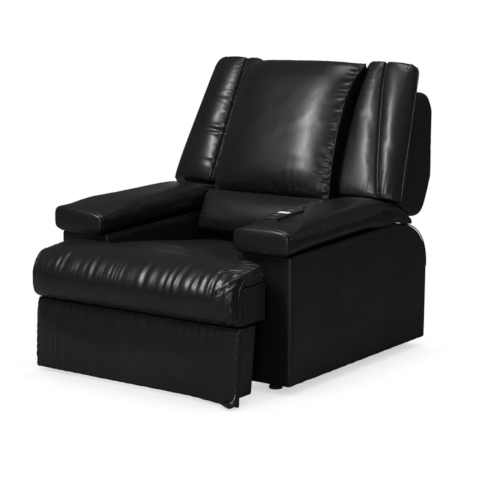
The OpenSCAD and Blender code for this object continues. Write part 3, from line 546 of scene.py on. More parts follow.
def fill_cushions(fills: Sequence[Fill], frames: int = 18) -> None:
    """Blows up all soft pieces at once as cloth, with their seams and backs held.

    Pressure fills a piece, and growth makes its leather a little larger than its form, so that
    it puckers beside what holds it. No point moves farther than the piece's cap.

    Args:
        fills: The pieces, each with a hold weight per vertex.
        frames: The last frame of the simulation.
    """
    scene = bpy.context.scene
    for item in fills:
        item.before = get_points(item.thing.data)
        group = item.thing.vertex_groups.new(name="hold")
        levels = np.round(np.clip(item.hold, 0.0, 1.0) * HOLD_STEPS) / HOLD_STEPS
        for level in np.unique(levels[levels > 0.0]):
            group.add(np.flatnonzero(levels == level).tolist(), float(level), "REPLACE")
        cloth = item.thing.modifiers.new("cloth", "CLOTH")
        for key, value in CLOTH.items():
            setattr(cloth.settings, key, value)
        cloth.settings.use_pressure = True
        cloth.settings.uniform_pressure_force = item.stuffing.pressure
        cloth.settings.shrink_min = -item.stuffing.growth
        cloth.settings.vertex_group_mass = "hold"
        cloth.settings.effector_weights.gravity = 0.0
        cloth.collision_settings.use_collision = False
        cloth.point_cache.frame_start = 1
        cloth.point_cache.frame_end = frames
    for frame_number in range(1, frames + 1):
        scene.frame_set(frame_number)
    depsgraph = bpy.context.evaluated_depsgraph_get()
    for item in fills:
        after = get_points(item.thing.evaluated_get(depsgraph).data)
        move = after - item.before
        size = np.linalg.norm(move, axis=1, keepdims=True)
        LOG.info("filled %s: moved up to %.1f mm", item.thing.name, 1000.0 * float(size.max()))
        move *= np.minimum(1.0, item.stuffing.cap / np.maximum(size, TINY))
        move = evened(item.thing.data, move, 1.0 - np.clip(item.hold, 0.0, 1.0))
        item.thing.modifiers.clear()
        item.thing.vertex_groups.clear()
        set_points(item.thing.data, item.before + move)
    scene.frame_set(1)


# Finishes


def wire(tree: bpy.types.NodeTree, kind: str, inputs: dict | None = None,
         **settings: object) -> bpy.types.Node:
    """Adds a node, sets its properties and fills or links its inputs.

    Args:
        tree: The tree that the node joins.
        kind: Its type.
        inputs: Values or output sockets by the input's name or number.
        **settings: Properties of the node.

    Returns:
        The node.
    """
    node = tree.nodes.new(kind)
    for key, value in settings.items():
        setattr(node, key, value)
    for key, value in (inputs or {}).items():
        if isinstance(value, bpy.types.NodeSocket):
            tree.links.new(value, node.inputs[key])
        else:
            node.inputs[key].default_value = value
    return node


def maths(tree: bpy.types.NodeTree, operation: str, *values: object) -> bpy.types.NodeSocket:
    """Adds a Math node with these values or sockets, and returns its output."""
    return wire(tree, "ShaderNodeMath", dict(enumerate(values)), operation=operation).outputs[0]


def between(tree: bpy.types.NodeTree, value: object, low: float, high: float, to_low: float,
            to_high: float) -> bpy.types.NodeSocket:
    """Adds a clamped Map Range node and returns its result."""
    return wire(tree, "ShaderNodeMapRange", {0: value, 1: low, 2: high, 3: to_low, 4: to_high}).outputs[0]


def open_group(name: str, inputs: dict[str, float], outputs: Sequence[str]) -> tuple:
    """Makes a shader group with named sockets.

    Args:
        name: The group's name.
        inputs: Default value of each float input.
        outputs: Names of the float outputs.

    Returns:
        The tree, its input node and its output node.
    """
    tree = bpy.data.node_groups.new(name, "ShaderNodeTree")
    for key, value in inputs.items():
        tree.interface.new_socket(key, in_out="INPUT", socket_type="NodeSocketFloat").default_value = value
    for key in outputs:
        tree.interface.new_socket(key, in_out="OUTPUT", socket_type="NodeSocketFloat")
    return tree, tree.nodes.new("NodeGroupInput"), tree.nodes.new("NodeGroupOutput")


def leather_surface() -> bpy.types.NodeTree:
    """Builds the leather group: pebbled grain, hair creases, and patches of polish.

    The height is a Voronoi pebble plus two scales of noise. The tone and the polish are slow
    noise, and the polish is greater where the crease noise is high.

    Returns:
        The group, with outputs Tone, Polish and Height.
    """
    tree, source, sink = open_group(
        "leather_surface", {"Pebble": 620.0, "Crease": 34.0, "Pebble depth": 0.3, "Crease depth": 1.0},
        ("Tone", "Polish", "Height"))
    where = wire(tree, "ShaderNodeTexCoord").outputs["Object"]
    pebble = wire(tree, "ShaderNodeTexVoronoi", {"Vector": where, "Scale": source.outputs["Pebble"]},
                  feature="SMOOTH_F1")
    crease = wire(tree, "ShaderNodeTexNoise", {"Vector": where, "Scale": source.outputs["Crease"],
                                               "Detail": 5.0, "Roughness": 0.55, "Distortion": 0.6})
    hair = wire(tree, "ShaderNodeTexNoise", {"Vector": where, "Scale": 180.0, "Detail": 3.0,
                                             "Distortion": 1.4})
    patch = wire(tree, "ShaderNodeTexNoise", {"Vector": where, "Scale": 6.0, "Detail": 4.0})
    proud = between(tree, pebble.outputs["Distance"], 0.0, 0.8, 1.0, 0.0)
    fold = maths(tree, "ABSOLUTE", maths(tree, "SUBTRACT", hair.outputs["Fac"], 0.5))
    height = maths(tree, "MULTIPLY", proud, source.outputs["Pebble depth"])
    height = maths(tree, "ADD", height, maths(tree, "MULTIPLY", crease.outputs["Fac"],
                                              source.outputs["Crease depth"]))
    height = maths(tree, "ADD", height, maths(tree, "MULTIPLY", fold, 0.9))
    tree.links.new(height, sink.inputs["Height"])
    tree.links.new(between(tree, patch.outputs["Fac"], 0.3, 0.7, 0.0, 1.0), sink.inputs["Tone"])
    polish = maths(tree, "ADD", maths(tree, "MULTIPLY", patch.outputs["Fac"], 0.7),
                   maths(tree, "MULTIPLY", crease.outputs["Fac"], 0.3))
    tree.links.new(between(tree, polish, 0.35, 0.65, 0.0, 1.0), sink.inputs["Polish"])
    return tree


def worn_surface() -> bpy.types.NodeTree:
    """Builds the hardware group: fine speckle, slow stain and dust that lies on upward faces.

    Returns:
        The group, with outputs Stain, Dust and Height.
    """
    tree, source, sink = open_group("worn_surface", {"Speckle": 900.0, "Stain": 9.0, "Dust": 0.5},
                                    ("Stain", "Dust", "Height"))
    where = wire(tree, "ShaderNodeTexCoord").outputs["Object"]
    speckle = wire(tree, "ShaderNodeTexNoise", {"Vector": where, "Scale": source.outputs["Speckle"],
                                                "Detail": 2.0})
    stain = wire(tree, "ShaderNodeTexNoise", {"Vector": where, "Scale": source.outputs["Stain"],
                                              "Detail": 6.0, "Roughness": 0.6})
    facing = wire(tree, "ShaderNodeSeparateXYZ", {0: wire(tree, "ShaderNodeNewGeometry").outputs["Normal"]})
    dust = maths(tree, "MULTIPLY", between(tree, facing.outputs["Z"], 0.4, 1.0, 0.0, 1.0),
                 between(tree, stain.outputs["Fac"], 0.35, 0.7, 0.2, 1.0))
    tree.links.new(between(tree, stain.outputs["Fac"], 0.35, 0.65, 0.0, 1.0), sink.inputs["Stain"])
    tree.links.new(maths(tree, "MULTIPLY", dust, source.outputs["Dust"]), sink.inputs["Dust"])
    tree.links.new(speckle.outputs["Fac"], sink.inputs["Height"])
    return tree


@dataclass(frozen=True)
class Finish:
    """What every finish shares: a name and how it becomes a material."""

    name: str

    def start(self) -> tuple:
        """Returns a new material, its tree and its Principled shader."""
        material = bpy.data.materials.new(self.name)
        material.use_nodes = True
        tree = material.node_tree
        return material, tree, tree.nodes["Principled BSDF"]


@dataclass(frozen=True)
class Leather(Finish):
    """Black upholstery leather with a semi-gloss finish coat."""

    deep: tuple = (0.0045, 0.0044, 0.0046)
    pale: tuple = (0.0105, 0.0100, 0.0100)
    matt: float = 0.44
    gloss: float = 0.30
    crease: float = 34.0
    crease_depth: float = 1.0
    relief: float = 0.0005
    specular: float = 0.5
    coat: float = 0.12

    def material(self, groups: "Groups") -> bpy.types.Material:
        """Returns the material: the leather group drives colour, roughness and bump."""
        material, tree, shader = self.start()
        skin = wire(tree, "ShaderNodeGroup", node_tree=groups.leather)
        skin.inputs["Crease"].default_value = self.crease
        skin.inputs["Crease depth"].default_value = self.crease_depth
        colour = colour_mix(tree, skin.outputs["Tone"], self.deep, self.pale)
        tree.links.new(colour, shader.inputs["Base Color"])
        tree.links.new(between(tree, skin.outputs["Polish"], 0.0, 1.0, self.matt, self.gloss),
                       shader.inputs["Roughness"])
        bump = wire(tree, "ShaderNodeBump", {"Height": skin.outputs["Height"], "Strength": 0.55,
                                             "Distance": self.relief})
        tree.links.new(bump.outputs["Normal"], shader.inputs["Normal"])
        shader.inputs["Specular IOR Level"].default_value = self.specular
        shader.inputs["Coat Weight"].default_value = self.coat
        shader.inputs["Coat Roughness"].default_value = 0.22
        return material


@dataclass(frozen=True)
class Hardware(Finish):
    """Metal, plastic, rubber or timber parts with speckle, stain and a little dust."""

    colour: tuple = (0.1, 0.1, 0.1)
    stain: tuple = (0.07, 0.07, 0.07)
    metallic: float = 0.0
    rough: float = 0.45
    rough_stain: float = 0.6
    speckle: float = 900.0
    relief: float = 0.0002
    dust: float = 0.15
    specular: float = 0.5
    # Painted light: an emission strength that brightens the part though it is no lamp.
    painted_glow: float = 0.0

    def material(self, groups: "Groups") -> bpy.types.Material:
        """Returns the material: the hardware group stains it, dust lightens upward faces, and a painted glow
        can brighten it.
        """
        material, tree, shader = self.start()
        skin = wire(tree, "ShaderNodeGroup", node_tree=groups.worn)
        skin.inputs["Speckle"].default_value = self.speckle
        skin.inputs["Dust"].default_value = self.dust
        colour = colour_mix(tree, skin.outputs["Stain"], self.colour, self.stain)
        dusted = colour_mix(tree, skin.outputs["Dust"], colour, (0.32, 0.31, 0.29))
        tree.links.new(dusted, shader.inputs["Base Color"])
        tree.links.new(between(tree, skin.outputs["Stain"], 0.0, 1.0, self.rough, self.rough_stain),
                       shader.inputs["Roughness"])
        bump = wire(tree, "ShaderNodeBump", {"Height": skin.outputs["Height"], "Strength": 0.5,
                                             "Distance": self.relief})
        tree.links.new(bump.outputs["Normal"], shader.inputs["Normal"])
        shader.inputs["Metallic"].default_value = self.metallic
        # Painted glow: the part emits its own colour, which brightens it beyond what the lamps give.
        if self.painted_glow:
            tree.links.new(dusted, shader.inputs["Emission Color"])
            shader.inputs["Emission Strength"].default_value = self.painted_glow
        shader.inputs["Specular IOR Level"].default_value = self.specular
        return material


@dataclass(frozen=True)
class Timber(Finish):
    """Planed softwood whose rings run along the seat."""

    pale: tuple = (0.52, 0.36, 0.19)
    dark: tuple = (0.30, 0.17, 0.075)

    def material(self, groups: "Groups") -> bpy.types.Material:
        """Returns the material: noise stretched along Y gives the rings."""
        material, tree, shader = self.start()
        where = wire(tree, "ShaderNodeTexCoord").outputs["Object"]
        long = wire(tree, "ShaderNodeMapping", {0: where, "Scale": (60.0, 3.0, 60.0)})
        rings = wire(tree, "ShaderNodeTexNoise", {"Vector": long.outputs[0], "Scale": 1.0, "Detail": 4.0,
                                                  "Distortion": 0.8})
        colour = colour_mix(tree, between(tree, rings.outputs["Fac"], 0.35, 0.65, 0.0, 1.0),
                            self.pale, self.dark)
        tree.links.new(colour, shader.inputs["Base Color"])
        bump = wire(tree, "ShaderNodeBump", {"Height": rings.outputs["Fac"], "Strength": 0.4,
                                             "Distance": 0.0006})
        tree.links.new(bump.outputs["Normal"], shader.inputs["Normal"])
        shader.inputs["Roughness"].default_value = 0.62
        return material


def colour_mix(tree: bpy.types.NodeTree, share: bpy.types.NodeSocket, low: object,
               high: object) -> bpy.types.NodeSocket:
    """Adds a colour Mix node between two colours or sockets, and returns its output."""
    node = wire(tree, "ShaderNodeMix", {0: share}, data_type="RGBA")
    for key, value in ((6, low), (7, high)):
        if isinstance(value, bpy.types.NodeSocket):
            tree.links.new(value, node.inputs[key])
        else:
            node.inputs[key].default_value = (*value, 1.0)
    return node.outputs[2]


PANEL_LEATHER = Leather("panel_leather", crease=20.0, crease_depth=0.7, matt=0.50, gloss=0.38)
SOFT_LEATHER = Leather("soft_leather", crease=26.0, crease_depth=1.0, matt=0.42, gloss=0.31)
PIPING_LEATHER = Leather("piping_leather", crease=60.0, crease_depth=0.5, matt=0.36, gloss=0.26,
                         deep=(0.009, 0.009, 0.009), pale=(0.017, 0.017, 0.017))
HARDWARE = {
    "timber": Timber("timber"),
    "steel": Hardware("steel", (0.022, 0.023, 0.025), (0.04, 0.04, 0.042), 0.35, 0.42, 0.58, 700.0),
    "zinc": Hardware("zinc", (0.55, 0.56, 0.58), (0.38, 0.38, 0.40), 1.0, 0.30, 0.46, 500.0, dust=0.08),
    "plastic": Hardware("plastic", (0.018, 0.018, 0.02), (0.028, 0.028, 0.03), 0.0, 0.42, 0.55, 1200.0),
    "nylon": Hardware("nylon", (0.62, 0.61, 0.56), (0.50, 0.49, 0.44), 0.0, 0.4, 0.5, 800.0, dust=0.05),
    "handset_plastic": Hardware("handset_plastic", (0.020, 0.020, 0.023), (0.028, 0.028, 0.031), 0.0, 0.30,
                                0.42, 1500.0, 0.00012, 0.02),
    # The plate's glow is painted light, which makes the white plate brighter than the lamps light it.
    "plate_white": Hardware("plate_white", (0.95, 0.95, 0.96), (0.90, 0.91, 0.92), 0.0, 0.12, 0.20, 900.0,
                            0.00005, 0.0, painted_glow=0.4),
    "key_rubber": Hardware("key_rubber", (0.10, 0.10, 0.11), (0.075, 0.075, 0.08), 0.0, 0.55, 0.7, 1400.0,
                           0.0001, 0.02),
    "lead_rubber": Hardware("lead_rubber", (0.015, 0.015, 0.016), (0.022, 0.022, 0.023), 0.0, 0.40, 0.55,
                            1600.0, 0.0001, 0.0),
}


@dataclass
class Groups:
    """The shared node groups, built once."""

    leather: bpy.types.NodeTree = field(default_factory=leather_surface)
    worn: bpy.types.NodeTree = field(default_factory=worn_surface)


@dataclass
class Shop:
    """Materials made so far, and how a finished piece joins the object."""

    groups: Groups
    made: dict = field(default_factory=dict)

    def material(self, finish: Finish) -> bpy.types.Material:
        """Returns the finish's material, made at its first use."""
        if finish.name not in self.made:
            self.made[finish.name] = finish.material(self.groups)
        return self.made[finish.name]

    def hand_over(self, thing: bpy.types.Object, finish: Finish, body: str,
                  nodes: Sequence[str] = (), levels: int = 0) -> None:
        """Gives a piece its finish and its place in the object.

        Args:
            thing: The piece.
            finish: Its finish.
            body: The body that it rides on.
            nodes: CAD nodes that it stands for.
            levels: Subdivision levels.
        """
        thing.data.materials.clear()
        thing.data.materials.append(self.material(finish))
        if levels:
            refine = thing.modifiers.new("subdivision", "SUBSURF")
            refine.levels = refine.render_levels = levels
        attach(thing, body)
        if nodes:
            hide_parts(*nodes)
        LOG.info("%s: %d points on %s", thing.name, len(thing.data.vertices), body)


def push(thing: bpy.types.Object, height: Grid) -> None:
    """Moves every vertex along its own normal by a height per vertex, in metres."""
    mesh = thing.data
    set_points(mesh, get_points(mesh) + get_normals(mesh) * height[:, None])


def border_distance(grid: Grid) -> Grid:
    """Returns how far each point of a flat grid is from the grid's border.

    The distance to a border segment is that to the nearest point on it.

    Args:
        grid: Rows by columns by 2.

    Returns:
        Rows by columns of distances.
    """
    loop = grid.reshape(-1, 2)[border(*grid.shape[:2])]
    a, b = loop, np.roll(loop, -1, axis=0)
    span = b - a
    length = np.maximum((span**2).sum(axis=1), TINY)
    to = grid.reshape(-1, 1, 2) - a[None]
    share = np.clip((to * span[None]).sum(axis=2) / length[None], 0.0, 1.0)
    near = np.linalg.norm(to - share[..., None] * span[None], axis=2).min(axis=1)
    return near.reshape(grid.shape[:2])


def rounded(distance: Grid, radius: float) -> Grid:
    """Returns a quarter circle's fall at a distance inside an edge: r - sqrt(r^2 - (r - d)^2)."""
    inside = np.clip(radius - distance, 0.0, radius)
    return radius - np.sqrt(radius**2 - inside**2)


def boxed(outline: Grid, x0: float, x1: float, radius: float, puff: float, rim: int, skip: str = "") -> Hull:
    """Makes an upholstered slab between two x planes from its side outline, in drawing mm.

    Both faces fall by a quarter circle at the edge and stand proud by the puff inside it.

    Args:
        outline: Rows by columns by 2 of y and z.
        x0: The lower plane.
        x1: The higher plane.
        radius: The edge's rounding.
        puff: How far the faces stand proud.
        rim: Steps across the edge.
        skip: Passed to hull.

    Returns:
        The closed surface in frame metres.
    """
    near = border_distance(outline)
    fall = rounded(near, radius) - puff * (1.0 - np.exp(-np.maximum(near - radius, 0.0) / 30.0))
    high = np.dstack([x1 - fall, outline[..., 0], outline[..., 1]])
    low = np.dstack([x0 + fall, outline[..., 0], outline[..., 1]])
    return hull(row(high), row(low), rim, skip=skip)


# The studio


@dataclass(frozen=True)
class Lamp:
    """A soft box: its place, its two sizes, its power and what it points at."""

    name: str
    place: tuple
    size: tuple
    power: float
    aim: tuple


@dataclass
class Studio:
    """Pale floor, soft lights and the camera at the photograph's angle."""

    target: tuple = (0.001, 0.033, 0.4032)
    distance: float = 5.0092
    azimuth: float = 35.7407
    elevation: float = 9.3828
    lens: float = 107.66
    sensor: float = 36.0
    shift: tuple = (-0.0035, -0.0024)
    sky: tuple = (0.9, 0.93, 1.0, 1.0)
    sky_power: float = 0.095
    floor_reach: float = 30.0
    floor_grey: float = 0.30
    shade_reach: float = 0.3
    shade: float = 0.55
    lamps: tuple = (
        Lamp("key", (-0.62, -2.35, 2.95), (0.4, 1.5), 72.0, (0.1, 0.3, 0.75)),
        Lamp("front", (1.9, -3.4, 1.1), (0.7, 1.0), 20.0, (0.1, -0.2, 0.4)),
        Lamp("top", (0.3, 0.2, 3.4), (1.6, 1.0), 22.0, (0.0, 0.1, 0.5)),
        Lamp("kicker", (-2.3, 3.3, 1.25), (1.0, 0.6), 1.6, (0.2, 0.0, 0.5)),
        Lamp("rear", (2.6, 2.2, 1.6), (0.8, 1.6), 1.2, (0.3, 0.3, 0.6)),
    )

    def camera(self) -> None:
        """Places the camera, which looks at the target from its azimuth and elevation."""
        data = bpy.data.cameras.new("camera")
        thing = bpy.data.objects.new("camera", data)
        bpy.context.scene.collection.objects.link(thing)
        turn, lift = math.radians(self.azimuth), math.radians(self.elevation)
        away = Vector((math.sin(turn) * math.cos(lift), -math.cos(turn) * math.cos(lift), math.sin(lift)))
        thing.location = Vector(self.target) + self.distance * away
        thing.rotation_euler = (-away).to_track_quat("-Z", "Y").to_euler()
        data.lens = self.lens
        data.sensor_width = self.sensor
        data.shift_x, data.shift_y = self.shift
        bpy.context.scene.camera = thing

    def light(self) -> None:
        """Adds the soft lamps and a pale world that lights the object faintly."""
        for lamp in self.lamps:
            data = bpy.data.lights.new(lamp.name, "AREA")
            data.shape = "RECTANGLE"
            data.size, data.size_y = lamp.size
            data.energy = lamp.power
            thing = bpy.data.objects.new(lamp.name, data)
            bpy.context.scene.collection.objects.link(thing)
            thing.location = lamp.place
            ahead = Vector(lamp.aim) - Vector(lamp.place)
            thing.rotation_euler = ahead.to_track_quat("-Z", "Y").to_euler()
        world = bpy.data.worlds.new("studio")
        bpy.context.scene.world = world
        world.use_nodes = True
        tree = world.node_tree
        tree.nodes.clear()
        dim = wire(tree, "ShaderNodeBackground", {0: self.sky, 1: self.sky_power})
        white = wire(tree, "ShaderNodeBackground", {0: (1.0, 1.0, 1.0, 1.0), 1: 1.0})
        seen = wire(tree, "ShaderNodeLightPath").outputs["Is Camera Ray"]
        both = wire(tree, "ShaderNodeMixShader", {0: seen, 1: dim.outputs[0], 2: white.outputs[0]})
        wire(tree, "ShaderNodeOutputWorld", {0: both.outputs[0]})
        bpy.context.scene.view_settings.view_transform = "Standard"

    def floor(self) -> None:
        """Lays the pale floor, white but for soft contact shade, which stays dim in reflections."""
        far = self.floor_reach
        mesh = bpy.data.meshes.new("floor")
        mesh.from_pydata([(-far, -far, 0), (far, -far, 0), (far, far, 0), (-far, far, 0)], [], [(0, 1, 2, 3)])
        thing = bpy.data.objects.new("floor", mesh)
        bpy.context.scene.collection.objects.link(thing)
        material = bpy.data.materials.new("floor")
        material.use_nodes = True
        tree = material.node_tree
        tree.nodes.clear()
        near = wire(tree, "ShaderNodeAmbientOcclusion", {"Distance": self.shade_reach}, samples=8)
        shade = between(tree, near.outputs["AO"], 0.0, 0.75, self.shade, 1.0)
        bright = wire(tree, "ShaderNodeEmission", {0: (1.0, 1.0, 1.0, 1.0), 1: shade})
        grey = self.floor_grey
        dark = wire(tree, "ShaderNodeBsdfDiffuse", {0: (grey, grey, grey, 1.0)})
        seen = wire(tree, "ShaderNodeLightPath").outputs["Is Camera Ray"]
        both = wire(tree, "ShaderNodeMixShader", {0: seen, 1: dark.outputs[0], 2: bright.outputs[0]})
        wire(tree, "ShaderNodeOutputMaterial", {0: both.outputs[0]})
        mesh.materials.append(material)


# The seat's own pieces


RAKE = math.radians(26.0)
BACK_PIVOT = (590.0, 300.0)


def on_back(x: Grid, w: Grid, u: Grid) -> Grid:
    """Turns places on the upright back into frame metres.

    The back is turned by its rake: y = pivot + w cos + u sin and z = pivot - w sin + u cos.

    Args:
        x: Across the seat, in mm.
        w: Behind the pivot plane, in mm.
        u: Up along the rake from the pivot, in mm.

    Returns:
        Points in frame metres.
    """
    x, w, u = np.broadcast_arrays(x, w, u)
    y = BACK_PIVOT[0] + w * math.cos(RAKE) + u * math.sin(RAKE)
    z = BACK_PIVOT[1] - w * math.sin(RAKE) + u * math.cos(RAKE)
    return row(np.stack([x, y, z], axis=-1))


def held_edge(rows: int, cols: int, reach: int = 2) -> Grid:
    """Returns hold weights of 1 on a grid's border that fall to 0 over a few steps inside it."""
    i, j = np.meshgrid(np.arange(rows), np.arange(cols), indexing="ij")
    inside = np.minimum(np.minimum(i, rows - 1 - i), np.minimum(j, cols - 1 - j))
    return np.clip(1.0 - inside / reach, 0.0, 1.0)


@dataclass
class Piece:
    """A sub-assembly: it builds its meshes, may ask for filling, and is then dressed."""

    things: dict = field(default_factory=dict)

    def build(self) -> list[Fill]:
        """Makes the meshes and returns the soft ones that want filling."""
        return []

    def dress(self, shop: Shop) -> None:
        """Adds creases and piping, and hands the pieces over."""


@dataclass
class ArmBox(Piece):
    """A slab arm: upholstered side panels with sewn seams and piped upper edges."""

    side: Side = Side.RIGHT
    inner: float = 268.0
    outer: float = 478.0
    depth: float = 866.0
    low: float = 30.0
    front_top: float = 442.0
    rear_top: float = 467.0
    round_start: float = 620.0
    round_low: float = 290.0
    round_power: float = 2.4
    edge: float = 7.0
    puff: float = 1.5
    seams: tuple = (260.0, 595.0)
    seam_line: SeamLine = SeamLine(1.5, 3.0, 0.7, 9.0, 6.0)
    seam_pull: Gather = Gather(0.3, 31.0, 26.0, 0)
    foot_folds: Gather = Gather(0.6, 62.0, 60.0, 9)
    slack: Slack = Slack(0.5, 110.0, 150.0, 0)
    free_ends: float = 30.0
    pipe: float = 2.2
    pipe_in: float = 2.5
    rows: int = 52
    cols: int = 108
    rim: int = 16

    def top(self, y: Grid) -> Grid:
        """Returns the top's height: level to the rear, then a superellipse down."""
        sweep = mix(self.front_top, self.rear_top, np.clip(y / self.round_start, 0.0, 1.0))
        part = np.clip((y - self.round_start) / (self.depth - self.round_start), 0.0, 1.0)
        fall = np.clip(1.0 - part**self.round_power, 0.0, 1.0) ** (1.0 / self.round_power)
        return np.where(y < self.round_start, sweep, mix(self.round_low, self.rear_top, fall))

    def outline(self) -> Grid:
        """Returns the side's grid of y and z, a Coons patch in its four edges."""
        turn = np.linspace(0.0, np.pi / 2.0, 40)
        bend = 2.0 / self.round_power
        arc_y = self.round_start + (self.depth - self.round_start) * np.sin(turn) ** bend
        arc_z = mix(self.round_low, self.rear_top, np.clip(np.cos(turn), 0.0, 1.0) ** bend)
        over = np.concatenate([[[0.0, self.front_top]], np.stack([arc_y, arc_z], axis=1)])
        under = np.array([[0.0, self.low], [self.depth, self.low]])
        front = np.array([[0.0, self.low], [0.0, self.front_top]])
        rear = np.array([[self.depth, self.low], [self.depth, self.round_low]])
        return coons(resample(under, self.cols), resample(over, self.cols), resample(front, self.rows),
                     resample(rear, self.rows))

    def build(self) -> list[Fill]:
        """Makes the box as a slab between its side panels."""
        form = boxed(self.outline(), self.inner, self.outer, self.edge, self.puff, self.rim)
        points = form.points * [self.side.value, 1.0, 1.0]
        self.things["box"] = make_object(f"arm_panels_{self.side.name.lower()}", points, form.faces)
        return []

    def dress(self, shop: Shop) -> None:
        """Sinks the seams, adds slack waves and pipes both upper edges."""
        box = self.things["box"]
        at = get_points(box.data) * 1000.0
        y, z = at[:, 1] + FRAME_SHIFT * 1000.0, at[:, 2]
        seed = 40 + self.side.value
        wide = np.abs(at[:, 0]) - self.inner
        flat = smooth(np.minimum(np.abs(y), np.abs(self.depth - y)) / self.free_ends)
        lift = self.slack.lift(y, z + wide * self.slack.tall / self.slack.wide, seed)
        for at_seam in self.seams:
            lift += self.seam_line.lift(y - at_seam)
            lift += self.seam_pull.lift(z, np.abs(y - at_seam), seed + int(at_seam)) * flat
        lift += self.foot_folds.lift(y, np.abs(z - self.low), seed)
        push(box, lift / 1000.0)
        node = f"arm_box_{self.side.name.lower()}"
        shop.hand_over(box, PANEL_LEATHER, "base", [node], levels=1)
        tubes = []
        for x in (self.inner + self.pipe_in, self.outer - self.pipe_in):
            run = resample(self.outline()[-1], 150)
            path = row(np.column_stack([np.full(len(run), x * self.side.value), run]))
            tubes.append(tube(path, self.pipe / 1000.0, (self.side.value, 0.0, 0.0)))
        piping = make_object(f"arm_piping_{self.side.name.lower()}", *join_parts(tubes))
        shop.hand_over(piping, PIPING_LEATHER, "base", levels=1)


